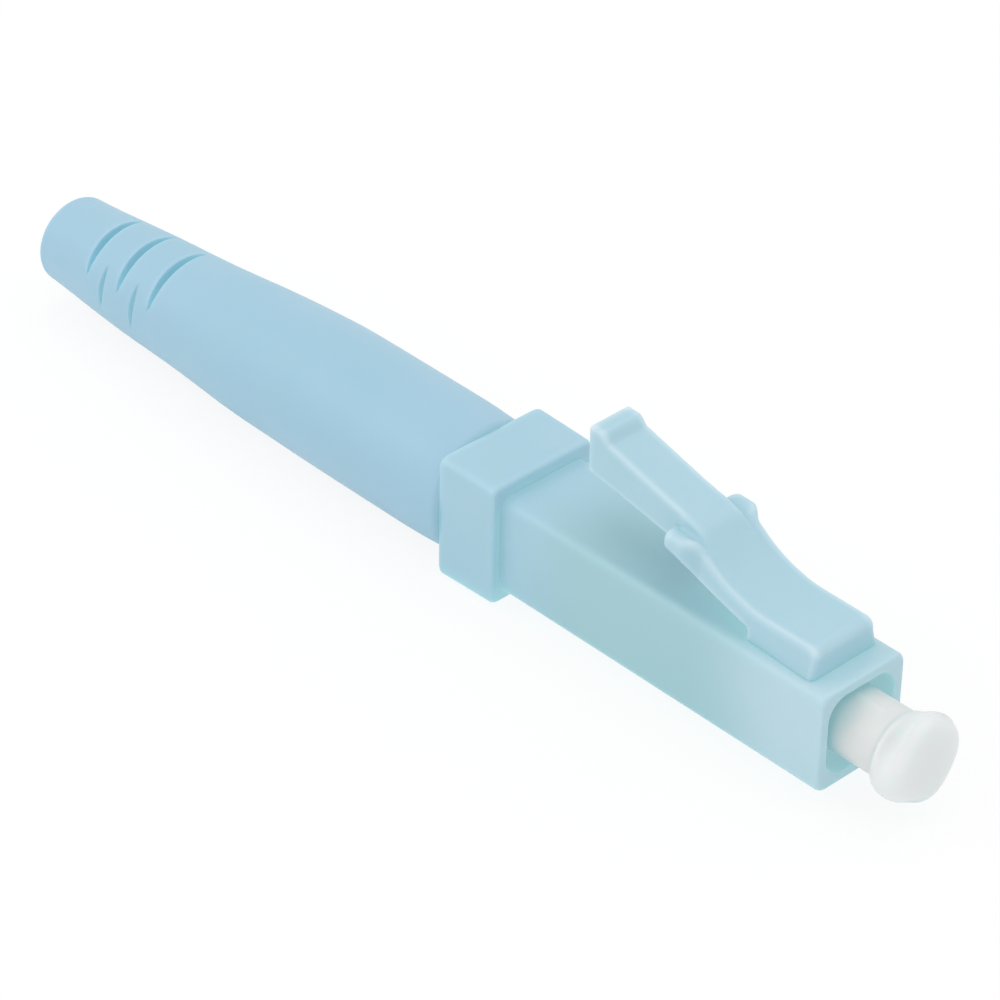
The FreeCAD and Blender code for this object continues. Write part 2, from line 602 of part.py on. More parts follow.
def make_boot():
    """Strain-relief boot: a tapered tube with slits cut square across it on alternate sides."""
    body = new_body("boot")
    body.Placement.Rotation = FreeCAD.Rotation(FreeCAD.Vector(1, 0, 0), size("Sizes.boot_clocking"))
    body.setExpression("Placement.Rotation.Angle", "Sizes.boot_clocking * 1 deg")
    reaches = [
        ("0", "Sizes.boot_mouth_diameter"),
        ("Sizes.boot_mouth_length", "Sizes.boot_diameter"),
        (FALL_START, "Sizes.boot_diameter"),
        (FALL_START + " + Sizes.boot_fall_length / 2", "Sizes.boot_fall_middle_diameter"),
        (SLIT_START, "Sizes.boot_slit_front_diameter"),
        (SLIT_START + " + Sizes.boot_slit_zone_length / 2", "Sizes.boot_slit_middle_diameter"),
        (SLIT_START + " + Sizes.boot_slit_zone_length", "Sizes.boot_slit_rear_diameter"),
        (BOOT_LENGTH, "Sizes.boot_tail_diameter"),
    ]
    skin = [("(%s - (%s))" % (COLLAR_REAR, reach), "(%s / 2)" % across) for reach, across in reaches]
    turn(body, "BootSkin", [(COLLAR_REAR, "0")] + skin + [(skin[-1][0], "0")])
    tail = size("%s - %s" % (COLLAR_REAR, BOOT_LENGTH))
    dress(body, "BootRim", lambda edge: lies_at(edge, "x", tail), "Sizes.boot_rim_radius")

    pocket_end = "(%s - Sizes.boot_clearance)" % SLEEVE_REAR
    tail_end = "(%s - %s)" % (COLLAR_REAR, BOOT_LENGTH)
    pocket = "(%s + Sizes.boot_clearance)" % SLEEVE_RADIUS
    turn(body, "BootBores", [
        (COLLAR_REAR, "0"), (COLLAR_REAR, pocket), (pocket_end, pocket),
        (pocket_end, CABLE_HOLE_RADIUS), (tail_end, CABLE_HOLE_RADIUS), (tail_end, "0"),
    ], "PartDesign::Groove")

    narrowing = "(Sizes.boot_slit_rear_diameter - Sizes.boot_slit_front_diameter)"
    slope = "(%s / 2 / Sizes.boot_slit_zone_length)" % narrowing
    for number in range(SLITS):
        reach = "(Sizes.slit_first + %d * Sizes.slit_pitch)" % number
        middle = "(%s - (%s) - %s)" % (COLLAR_REAR, SLIT_START, reach)
        surface = "(Sizes.boot_slit_front_diameter / 2 + %s * %s)" % (reach, slope)
        plane = "XZ_Plane" if number % 2 == 0 else "XY_Plane"
        sketch = new_sketch(body, plane, "Slit%d" % (number + 1))
        flare = "((Sizes.slit_mouth - Sizes.slit_floor) / 2 / Sizes.slit_depth)"
        for side in ("", "-"):
            add_outline(sketch, [
                ("(%s - Sizes.slit_floor / 2)" % middle, "%s(%s - Sizes.slit_depth)" % (side, surface)),
                ("(%s + Sizes.slit_floor / 2)" % middle, "%s(%s - Sizes.slit_depth)" % (side, surface)),
                ("(%s + Sizes.slit_floor / 2 + 2 * Sizes.slit_depth * %s)" % (middle, flare),
                 "%s(%s + Sizes.slit_depth)" % (side, surface)),
                ("(%s - Sizes.slit_floor / 2 - 2 * Sizes.slit_depth * %s)" % (middle, flare),
                 "%s(%s + Sizes.slit_depth)" % (side, surface)),
            ])
        cut(body, sketch)
    return body


def make_dust_cap():
    """Soft cap over the ferrule: a closed tube with a flared, eccentric head."""
    body = new_body("dust_cap")
    rear = "(-Sizes.cap_insertion)"
    tube = new_sketch(body, "YZ_Plane", "CapTube", rear)
    add_circle(tube, "0", "0", "Sizes.cap_diameter / 2")
    pad(body, tube, "(Sizes.cap_insertion + Sizes.cap_head_start)", back=False)
    back = new_sketch(body, "YZ_Plane", "HeadBack", "Sizes.cap_head_start")
    add_circle(back, "-Sizes.cap_head_offset", "-Sizes.cap_head_offset", "Sizes.cap_head_back_diameter / 2")
    wide = new_sketch(body, "YZ_Plane", "HeadWide", "Sizes.cap_head_end")
    add_circle(wide, "0", "0", "Sizes.cap_head_diameter / 2")
    doc.recompute()
    loft = body.newObject("PartDesign::AdditiveLoft", "HeadFlare")
    loft.Profile = back
    loft.Sections = [wide]
    doc.recompute()
    front = new_sketch(body, "YZ_Plane", "HeadFront", "Sizes.cap_head_end")
    add_circle(front, "0", "0", "Sizes.cap_head_diameter / 2")
    pad(body, front, "Sizes.cap_crown", back=False)
    front_x = size(CAP_FRONT)
    crown_radius = "(Sizes.cap_crown - Sizes.cap_crown_land)"
    dress(body, "HeadCrown", lambda edge: lies_at(edge, "x", front_x), crown_radius)
    bore = new_sketch(body, "YZ_Plane", "CapBore", "(%s + Sizes.cap_tip_gap)" % FERRULE_TIP)
    add_circle(bore, "0", "0", "(Sizes.ferrule_diameter / 2 + Sizes.cap_bore_clearance)")
    cut(body, bore, "(%s + Sizes.cap_tip_gap + Sizes.cap_insertion)" % FERRULE_TIP)
    return body


MAKERS = [
    make_housing, make_latch_lever, make_ferrule, make_ferrule_flange, make_guide_tube,
    make_spring, make_crimp_body, make_crimp_sleeve, make_boot, make_dust_cap,
]
pieces = [maker() for maker in MAKERS]
doc.recompute()

for item in doc.Objects:
    if "Invalid" in item.State or "Error" in item.State:
        raise RuntimeError("%s failed: %s" % (item.Name, item.State))
for piece in pieces:
    if piece.Shape.isNull() or not piece.Shape.isValid():
        raise RuntimeError("%s has no valid shape" % piece.Label)
    if len(piece.Shape.Solids) != 1:
        raise RuntimeError("%s is not one solid" % piece.Label)

os.makedirs("parts", exist_ok=True)
for piece in pieces:
    piece.Shape.exportStep("parts/%s.step" % piece.Label)
    box = piece.Shape.optimalBoundingBox(False)
    print(
        "%-15s %8.2f mm3  X %7.2f %7.2f  Y %6.2f %6.2f  Z %6.2f %6.2f"
        % (piece.Label, piece.Shape.Volume, box.XMin, box.XMax, box.YMin, box.YMax, box.ZMin, box.ZMax)
    )
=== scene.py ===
import math
from functools import partial

import bpy
import numpy as np
from bpy.props import FloatProperty, FloatVectorProperty, IntProperty, PointerProperty, StringProperty
from mathutils import Matrix, Vector


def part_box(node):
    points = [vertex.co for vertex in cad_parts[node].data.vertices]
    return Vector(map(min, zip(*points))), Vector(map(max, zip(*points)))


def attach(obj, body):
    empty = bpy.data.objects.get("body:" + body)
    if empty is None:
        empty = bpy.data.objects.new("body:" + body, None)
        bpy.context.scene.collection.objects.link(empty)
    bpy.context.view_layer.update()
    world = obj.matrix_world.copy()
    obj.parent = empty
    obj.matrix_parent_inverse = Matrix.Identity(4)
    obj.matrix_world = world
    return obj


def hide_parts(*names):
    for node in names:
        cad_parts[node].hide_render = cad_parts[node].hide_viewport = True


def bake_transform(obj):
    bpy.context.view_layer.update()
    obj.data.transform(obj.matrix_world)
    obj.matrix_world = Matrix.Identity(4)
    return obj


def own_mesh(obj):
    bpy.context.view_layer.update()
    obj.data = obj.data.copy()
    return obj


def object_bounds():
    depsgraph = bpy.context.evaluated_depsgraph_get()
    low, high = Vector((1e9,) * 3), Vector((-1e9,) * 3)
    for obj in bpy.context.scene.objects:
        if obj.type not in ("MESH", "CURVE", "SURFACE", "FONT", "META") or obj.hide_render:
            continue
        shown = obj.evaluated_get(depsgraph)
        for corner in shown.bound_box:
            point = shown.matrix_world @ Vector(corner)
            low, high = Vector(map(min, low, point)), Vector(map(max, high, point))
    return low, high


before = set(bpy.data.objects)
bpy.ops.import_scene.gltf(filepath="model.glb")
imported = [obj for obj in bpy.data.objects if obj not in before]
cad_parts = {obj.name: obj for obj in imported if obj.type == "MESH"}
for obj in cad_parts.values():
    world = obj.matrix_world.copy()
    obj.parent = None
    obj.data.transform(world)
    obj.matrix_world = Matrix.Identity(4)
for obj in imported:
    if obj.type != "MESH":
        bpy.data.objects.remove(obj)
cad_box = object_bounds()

bl_info = {
    "name": "Fibre connector looks",
    "version": (1, 0, 0),
    "blender": (4, 5, 0),
    "location": "3D View > Sidebar > Connector",
    "description": "Visible pieces, finishes and stage of a small fibre optic plug",
    "category": "Object",
}

# Shapes are worked out in plug coordinates: metres, X forward with zero on the nose face,
# Y across and Z up from the ferrule's axis. placed() moves them into the part's frame.
MM = 0.001
HOUSING_LOW, HOUSING_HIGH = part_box("housing")
BOOT_LOW, BOOT_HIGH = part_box("boot")
CAP_LOW, CAP_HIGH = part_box("dust_cap")
FERRULE_LOW, FERRULE_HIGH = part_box("ferrule")
NOSE_X = HOUSING_HIGH.x
AXIS_Z = (BOOT_LOW.z + BOOT_HIGH.z) / 2
COLLAR_REAR = HOUSING_LOW.x - NOSE_X
TAIL_X = BOOT_LOW.x - NOSE_X
CAP_FRONT = CAP_HIGH.x - NOSE_X
CAP_REAR = CAP_LOW.x - NOSE_X

ROUND_WEIGHT = math.sqrt(0.5)     # makes a rational quadratic curve a quarter circle
CURVE_SHARE = 0.46                # most of a straight run that the rounding at one end takes
HOLD_SHARE = 0.49                 # most of it that the rounding and its flat take together
CORNER_CROWDING = 0.8             # how far a section's columns draw together at its corners
SMALLEST_ROUND = 0.03 * MM
CAP_ROWS = 8                      # rows that close each end of the latch
HEAD_WAVES = ((2, 0.021, 58.3), (3, 0.0534, 201.9), (4, 0.05, 29.1))    # waves round the cap's head, share, degrees
HEAD_SHIFT = (0.085 * MM, -0.06 * MM)     # middle of the cap's head off the axis in Y and Z
SEAM_AT, SEAM_SPREAD, SEAM_RISE = math.radians(97), math.radians(4), 0.035 * MM    # mould seam along the cap's tube
SPRING_WIRE, SPRING_TURNS = 0.35 * MM, 7
TINY = 1e-9                       # keeps a division from meeting zero
NOISE_SPAN = {"From Min": 0.3, "From Max": 0.7}      # a noise's values lie nearly all within this
FADING = {"To Min": 1.0, "To Max": 0.0}
MIX_FROM, MIX_TO, MIXED = 6, 7, 2                    # the colour sockets of a Mix node
WHITE = (1.0, 1.0, 1.0, 1.0)
KEY_LAMP = ((-0.30, -0.34, 0.36), 0.30)              # where a lamp hangs, and its width, in metres
TOP_LAMP = ((0.05, 0.1, 0.5), 0.5)
FLOOR_HALF = 4.0                                     # half the floor's width, in metres
FLOOR_WHITE = 0.86                                   # share of its look that is plain white; the rest shows shadow


def mm(*values):
    """Lengths given in millimetres, in metres."""
    return [value * MM for value in values]


# ---------------------------------------------------------------- sizes and colours

def length(name, description, millimetres):
    """Length property, held in metres, with its default given in millimetres."""
    return FloatProperty(
        name=name, description=description, default=millimetres * MM, min=0.0, unit="LENGTH", subtype="DISTANCE",
        precision=5,
    )


def bearing(name, description, degrees):
    """Angle property, with its default given in degrees."""
    return FloatProperty(name=name, description=description, default=math.radians(degrees), subtype="ANGLE")


def colour(name, description, default):
    """Text property that holds an sRGB hex colour."""
    return StringProperty(name=name, description=description, default=default)


class HousingSizes(bpy.types.PropertyGroup):
    """Sizes of the plug body and its rear collar."""

    body_width: length("Body width", "Plug body across Y and Z", 4.5)
    body_edge: length("Body edge", "Rounding of the four long edges", 0.47)
    nose_edge: length("Nose edge", "Rounding round the nose face", 0.16)
    collar_length: length("Collar length", "Square collar along X", 3.05)
    collar_width: length("Collar width", "Collar across Y", 5.45)
    collar_rise: length("Collar rise", "Collar above the body", 0.62)
    collar_drop: length("Collar drop", "Collar below the body", 0.48)
    collar_draft: length("Collar draft", "How far the collar's sides draw in towards its front", 0.05)
    collar_edge: length("Collar edge", "Rounding of the collar's edges", 0.22)
    collar_root: length("Collar root", "Hollow where the body meets the collar", 0.04)
    opening_width: length("Opening width", "Nose opening across Y and Z", 3.55)
    opening_corner: length("Opening corner", "Corner radius of the nose opening", 0.95)
    opening_depth: length("Opening depth", "Nose face to the web", 2.6)
    opening_rim: length("Opening rim", "Rounding of the opening's edge", 0.1)


class LatchSizes(bpy.types.PropertyGroup):
    """Sizes of the latch, from its base on the body to the thumb lip."""

    front_gap: length("Front gap", "Nose face to the front of the base", 1.02)
    width: length("Width", "Base and sweep across Y", 3.2)
    base_height: length("Base height", "Level top of the base above the body", 1.25)
    base_length: length("Base length", "Level top of the base along X", 2.48)
    base_corner: length("Base corner", "Rounding of the base's upright corners", 0.14)
    base_edge: length("Base edge", "Rounding of the base's edges", 0.38)
    foot: length("Foot", "Hollow where the base meets the body", 0.24)
    sweep_radius: length("Sweep radius", "Hollow curve from the base to the arm", 5.3)
    gap_front: length("Gap front", "Nose face to the root of the gap under the latch", 4.42)
    gap_height: length("Gap height", "Height of the gap at its root", 0.55)
    arm_width: length("Arm width", "Rear arm across Y", 2.12)
    arm_edge: length("Arm edge", "Rounding of the arm's edges", 0.1)
    reach: length("Reach", "Nose face to the free end", 13.58)
    lug_span: length("Lug span", "Over both side lugs", 4.1)
    lug_rear: length("Lug rear", "Nose face to the rear of the lugs", 8.76)
    lug_top: length("Lug top", "Axis to the top of the lugs", 5.12)
    lug_lift: length("Lug lift", "Underside of the lugs above the underside of the arm", 0.48)
    hollow_floor: length("Hollow floor", "Axis to the hollow between lug and arm", 4.96)
    lip_rise: length("Lip rise", "Thumb lip above the arm", 0.36)
    lip_length: length("Lip length", "Thumb lip along X, with its hollow", 1.08)


class BootSizes(bpy.types.PropertyGroup):
    """Sizes of the boot's slits and its slight bend."""

    slit_first: length("First slit", "Collar to the first slit", 18.35)
    slit_pitch: length("Slit pitch", "Slit to slit along X", 1.06)
    slit_depth: length("Slit depth", "Depth of the first slit and every second one after", 0.76)
    cross_depth: length("Cross depth", "Depth of the slits between", 0.2)
    cross_mouth: length("Cross mouth", "Width of the slits between at the skin", 0.3)
    slit_mouth: length("Slit mouth", "Width of each slit at the skin", 0.42)
    slit_floor: length("Slit floor", "Width of each slit at its floor", 0.12)
    slit_count: IntProperty(name="Slits", description="Slits along the boot", default=5, min=1)
    clocking: bearing("Clocking", "Turn of the first slit about the axis", 113)
    cross_turn: bearing("Cross turn", "Further turn of the slits between", 53)
    rise: length("Rise", "Barrel above the axis", 0.08)
    sag: length("Sag", "Drop of the tail below the barrel", 0.288)
    rim: length("Rim", "Rounding of the tail's rim", 0.24)


class CapSizes(bpy.types.PropertyGroup):
    """Sizes of the dust cap."""

    tube_diameter: length("Tube diameter", "Tube of the cap", 2.86)
    bore_diameter: length("Bore diameter", "Bore over the ferrule", 1.3)
    bore_end: length("Bore end", "Nose face to the end of the bore", 2.0)
    head_start: length("Head start", "Nose face to the back of the head", 1.93)
    head_diameter: length("Head diameter", "Widest part of the head", 3.708)
    head_back: length("Head back", "Back of the head across", 3.2)
    head_offset: length("Head offset", "Back of the head off the axis", 0.18)
    crown: length("Crown", "Rounding of the head's front", 0.44)


class FinishColours(bpy.types.PropertyGroup):
    """Surface colours, as sRGB hex, with the painted highlights, painted shade and painted glow of the plastics, and
    the latch's colour painted paler.
    """

    plastic: colour("Housing plastic", "Moulded housing", "#A4CBD3")
    plastic_front: colour("Housing nose", "Housing plastic towards the nose", "#BAD8E2")
    plastic_rear: colour("Housing rear", "Housing plastic towards the collar", "#A9CEDE")
    # Painted highlight, painted shade and painted glow (an emission) of the housing; the latch uses the same painted
    # shade.
    plastic_painted_highlight: colour("Housing painted highlight", "Painted highlight on the housing's thin upward edges", "#B9D9E3")
    plastic_painted_shade: colour("Housing painted shade", "Painted shade on the housing where walls face each other", "#7EBFC6")
    plastic_painted_glow: colour("Housing painted glow", "Painted glow in the housing's hollows", "#8A9A9A")
    # Painted light: the housing's plastic painted paler for the thin lever, which lets more light through.
    latch: colour("Latch", "Latch plastic", "#AED2DF")
    latch_painted_glow: colour("Latch painted glow", "Painted glow in the latch's hollows", "#6E7B7B")
    latch_painted_highlight: colour("Latch painted highlight", "Painted highlight on the latch's thin upward edges", "#DDE9F0")
    boot: colour("Boot", "Moulded boot", "#A3C9DC")
    # Painted highlight, painted shade and painted glow (an emission) of the boot.
    boot_painted_highlight: colour("Boot painted highlight", "Painted highlight on the boot's thin upward edges", "#ADD1E3")
    boot_painted_shade: colour("Boot painted slit shade", "Painted shade on the boot where walls face each other", "#78C0CB")
    boot_painted_glow: colour("Boot painted glow", "Painted glow in the boot's slits", "#667A80")
    cap: colour("Dust cap", "Moulded dust cap", "#E3E5E4")
    # Painted highlight, painted shade and painted glow (an emission) of the dust cap.
    cap_painted_highlight: colour("Dust cap painted highlight", "Painted highlight on the dust cap's thin upward edges", "#E4E7E6")
    cap_painted_shade: colour("Dust cap in shade", "Painted shade on the dust cap where walls face it", "#ABCDD2")
    cap_painted_glow: colour("Dust cap painted glow", "Painted glow along the dust cap", "#282C2C")
    floor: colour("Floor", "Plain floor", "#FFFFFF")


class StageSettings(bpy.types.PropertyGroup):
    """Camera and light."""

    azimuth: bearing("Azimuth", "Camera round Z", 45.958)
    elevation: bearing("Elevation", "Camera above the level", 35.518)
    roll: bearing("Roll", "Camera about its own axis", 1.001)
    place: FloatVectorProperty(
        name="Place", description="Camera from the nose on the axis", default=mm(84.11, -100.15, 102.73),
        unit="LENGTH", subtype="XYZ",
    )
    lens: FloatProperty(name="Lens", description="Focal length", default=160.64, unit="CAMERA")
    world_strength: FloatProperty(name="World", description="Even light from all round", default=0.84)
    key_strength: FloatProperty(name="Key", description="Radiance of the large soft lamp", default=1.5)
    top_strength: FloatProperty(name="Top", description="Radiance of the lamp overhead", default=0.5)


# ---------------------------------------------------------------- shapes

def placed(points):
    """Points in plug coordinates moved into the part's frame."""
    return points + np.array([NOSE_X, 0.0, AXIS_Z])


def smoothstep(start, end, at):
    """Rises from 0 at start to 1 at end as 3t^2 - 2t^3."""
    t = np.clip((at - start) / (end - start), 0, 1)
    return t * t * (3 - 2 * t)


def soft_min(a, b, ease):
    """Lower of two heights, with the corner between them rounded over ease."""
    return (a + b - np.sqrt((a - b) ** 2 + ease ** 2)) / 2


def soft_max(a, b, ease):
    """Higher of two heights, with the corner between them rounded over ease."""
    return (a + b + np.sqrt((a - b) ** 2 + ease ** 2)) / 2


def smooth_through(places, values, at):
    """Smooth curve through given values: a cubic between each two, whose slope at each is the mean of its two sides."""
    places, values = np.asarray(places, float), np.asarray(values, float)
    steps = np.diff(values) / np.diff(places)
    slopes = np.concatenate([steps[:1], (steps[1:] + steps[:-1]) / 2, steps[-1:]])
    at = np.clip(at, places[0], places[-1])
    k = np.clip(np.searchsorted(places, at, side="right") - 1, 0, len(places) - 2)
    width = places[k + 1] - places[k]
    t = (at - places[k]) / width
    return (
        (1 + 2 * t) * (1 - t) ** 2 * values[k] + t * (1 - t) ** 2 * width * slopes[k]
        + t * t * (3 - 2 * t) * values[k + 1] + t * t * (t - 1) * width * slopes[k + 1]
    )


def turned(x, reach, turn, off_y=0.0, off_z=0.0):
    """Points at x, at a reach from the axis and a turn round it, with their circle's middle off the axis."""
    y, z = reach * np.cos(turn) + off_y, reach * np.sin(turn) + off_z
    return np.stack([np.broadcast_to(x[:, None], y.shape), y, z], axis=-1)


def eased(points, radii, steps=7, hold=0.06 * MM):
    """Corner points joined by straight runs, each inner corner rounded over its radius.
    points is (rows, corners, parts) and radii (rows, corners). A corner becomes the rational quadratic curve
    (a(1-t)^2 + 2wbt(1-t) + ct^2) / ((1-t)^2 + 2wt(1-t) + t^2) from a, on the run before it, to c, on the run after;
    a further point on each run holds the flat beside the curve flat."""
    t = np.linspace(0, 1, steps + 1)[None, :, None]
    parts = [points[:, :1]]
    for k in range(1, points.shape[1] - 1):
        before, at, after = (points[:, k + shift:k + shift + 1] for shift in (-1, 0, 1))
        size_in = np.linalg.norm(before - at, axis=2, keepdims=True)
        size_out = np.linalg.norm(after - at, axis=2, keepdims=True)
        radius = np.maximum(radii[:, k], SMALLEST_ROUND)[:, None, None]
        reach_in, reach_out = (np.minimum(radius, CURVE_SHARE * size) for size in (size_in, size_out))
        way_in, way_out = (before - at) / (size_in + TINY), (after - at) / (size_out + TINY)
        first, last = at + way_in * reach_in, at + way_out * reach_out
        bend = 2 * ROUND_WEIGHT * t * (1 - t)
        curve = ((1 - t) ** 2 * first + bend * at + t ** 2 * last) / ((1 - t) ** 2 + bend + t ** 2)
        hold_in = at + way_in * np.minimum(reach_in + hold, HOLD_SHARE * size_in)
        hold_out = at + way_out * np.minimum(reach_out + hold, HOLD_SHARE * size_out)
        parts += [hold_in, curve, hold_out]
    return np.concatenate(parts + [points[:, -1:]], axis=1)


def rounded_loop(stations, radii):
    """Closed path through stations, with every corner rounded over its radius."""
    ring = np.array([stations[-1]] + stations + [stations[0]], float)[None]
    sizes = np.array([0] + radii + [0], float)[None]
    return eased(ring, sizes)[0, 1:-1]


def box_section(half_y, low_z, high_z, corner, columns=144):
    """Rounded rectangles about the axis, one for each row, met by rays at each column's angle.
    The angle draws columns together at the diagonals: (quarter + t + k sin(2 pi t) / 2 pi) quarter turns.
    A ray meets a side where its reach is half_y / cos or height / sin, and in a corner the corner's circle,
    where its reach is b + sqrt(b^2 - c): b is the circle's centre along the ray, and c that centre's squared
    distance less the squared radius."""
    share = np.arange(columns) * 4 / columns
    quarter = np.floor(share)
    t = share - quarter
    angle = (quarter + t + CORNER_CROWDING * np.sin(2 * np.pi * t) / (2 * np.pi)) * np.pi / 2
    cos, sin = np.cos(angle)[None], np.sin(angle)[None]
    half_y, low_z, high_z, corner = (np.asarray(v, float)[:, None] for v in (half_y, low_z, high_z, corner))
    height = np.where(sin >= 0, high_z, -low_z)
    c, s = np.abs(cos), np.abs(sin)
    reach = np.minimum(half_y / np.maximum(c, TINY), height / np.maximum(s, TINY))
    centre_y, centre_z = half_y - corner, height - corner
    along = c * centre_y + s * centre_z
    outside = centre_y ** 2 + centre_z ** 2 - corner ** 2
    on_arc = along + np.sqrt(np.maximum(along ** 2 - outside, 0))
    in_corner = (reach * c > centre_y) & (reach * s > centre_z)
    reach = np.where(in_corner, on_arc, reach)
    return reach * cos, reach * sin


def skin_mesh(name, points, loop=False, attribute=None):
    """Closed mesh over a grid of points (rows, columns, 3). The columns close on themselves. The rows close
    too where loop is set; otherwise the first and last rows meet at their middles in a pole. The faces are
    turned to point outwards, which the sign of the enclosed volume tells."""
    rows, columns = points.shape[:2]
    index = np.arange(rows * columns).reshape(rows, columns)
    wide = np.concatenate([index, index[:, :1]], axis=1)
    if loop:
        wide = np.concatenate([wide, wide[:1]], axis=0)
    quads = np.stack([wide[:-1, :-1], wide[1:, :-1], wide[1:, 1:], wide[:-1, 1:]], axis=-1).reshape(-1, 4)
    vertices, fans = points.reshape(-1, 3), np.empty((0, 3), int)
    if not loop:
        vertices = np.concatenate([vertices, points[[0, -1]].mean(axis=1)])
        start, end = wide[0], wide[-1]
        first, last = np.full(columns, rows * columns), np.full(columns, rows * columns + 1)
        fans = np.concatenate([
            np.stack([first, start[:-1], start[1:]], axis=-1), np.stack([last, end[1:], end[:-1]], axis=-1),
        ])
    a, b, c = vertices[np.concatenate([quads[:, :3], quads[:, [0, 2, 3]], fans])].transpose(1, 0, 2)
    faces = quads.tolist() + fans.tolist()
    if (a * np.cross(b, c)).sum() < 0:
        faces = [face[::-1] for face in faces]
    mesh = bpy.data.meshes.new(name)
    mesh.from_pydata(placed(vertices), [], faces)
    # The attribute hollow carries a per-point value from which the boot's material paints shade.
    if attribute is not None:
        values = np.zeros(len(vertices), np.float32)
        values[:rows * columns] = attribute.reshape(-1)
        mesh.attributes.new("hollow", "FLOAT", "POINT").data.foreach_set("value", values)
    mesh.shade_smooth()
    mesh.validate()
    piece = bpy.data.objects.new(name, mesh)
    bpy.context.scene.collection.objects.link(piece)
    return piece


def housing_points(sizes):
    """Housing as one wall carried round the axis: section (x, half width, low, high, corner) goes from the bore's
    rear mouth over the collar and body to the nose, in through the opening, and back through the chamber."""
    half, rim = sizes.body_width / 2, sizes.opening_width / 2
    collar_front = COLLAR_REAR + sizes.collar_length
    web = -sizes.opening_depth
    web_rear, square_end, bore_end, shoulder = web - 0.6 * MM, web - 3.5 * MM, web - 8.4 * MM, COLLAR_REAR + 0.8 * MM
    hole, chamber, bore, mouth = mm(0.95, 1.55, 1.77, 2.17)
    collar_half, collar_low, collar_top = sizes.collar_width / 2, -half - sizes.collar_drop, half + sizes.collar_rise
    corner, draft = sizes.collar_edge + 0.05 * MM, sizes.collar_draft

    def ring(radius, corner=None):
        return radius, -radius, radius, radius if corner is None else corner

    collar = (collar_half, collar_low, collar_top, corner)
    collar_nose = (collar_half - draft, collar_low + draft, collar_top - draft, corner)
    body, opening = ring(half, sizes.body_edge), ring(rim, sizes.opening_corner)
    square, fine = ring(chamber, 0.15 * MM), SMALLEST_ROUND
    path = [
        (COLLAR_REAR, ring(mouth), fine),
        (COLLAR_REAR, collar, sizes.collar_edge),
        (collar_front, collar_nose, sizes.collar_edge),
        (collar_front, body, sizes.collar_root),
        (0.0, body, sizes.nose_edge),
        (0.0, opening, sizes.opening_rim),
        (web, opening, 0.1 * MM),
        (web, ring(hole), fine),
        (web_rear, ring(hole), fine),
        (web_rear, square, fine),
        (square_end, square, fine),
        (square_end, ring(chamber), fine),
        (bore_end, ring(chamber), fine),
        (bore_end, ring(bore), fine),
        (shoulder, ring(bore), fine),
        (shoulder, ring(mouth), fine),
    ]
    stations, radii = [[x, *section] for x, section, _ in path], [radius for _, _, radius in path]
    x, half_y, low, high, corner = rounded_loop(stations, radii).T
    y, z = box_section(half_y, low, high, corner)
    return np.stack([np.broadcast_to(x[:, None], y.shape), y, z], axis=-1)


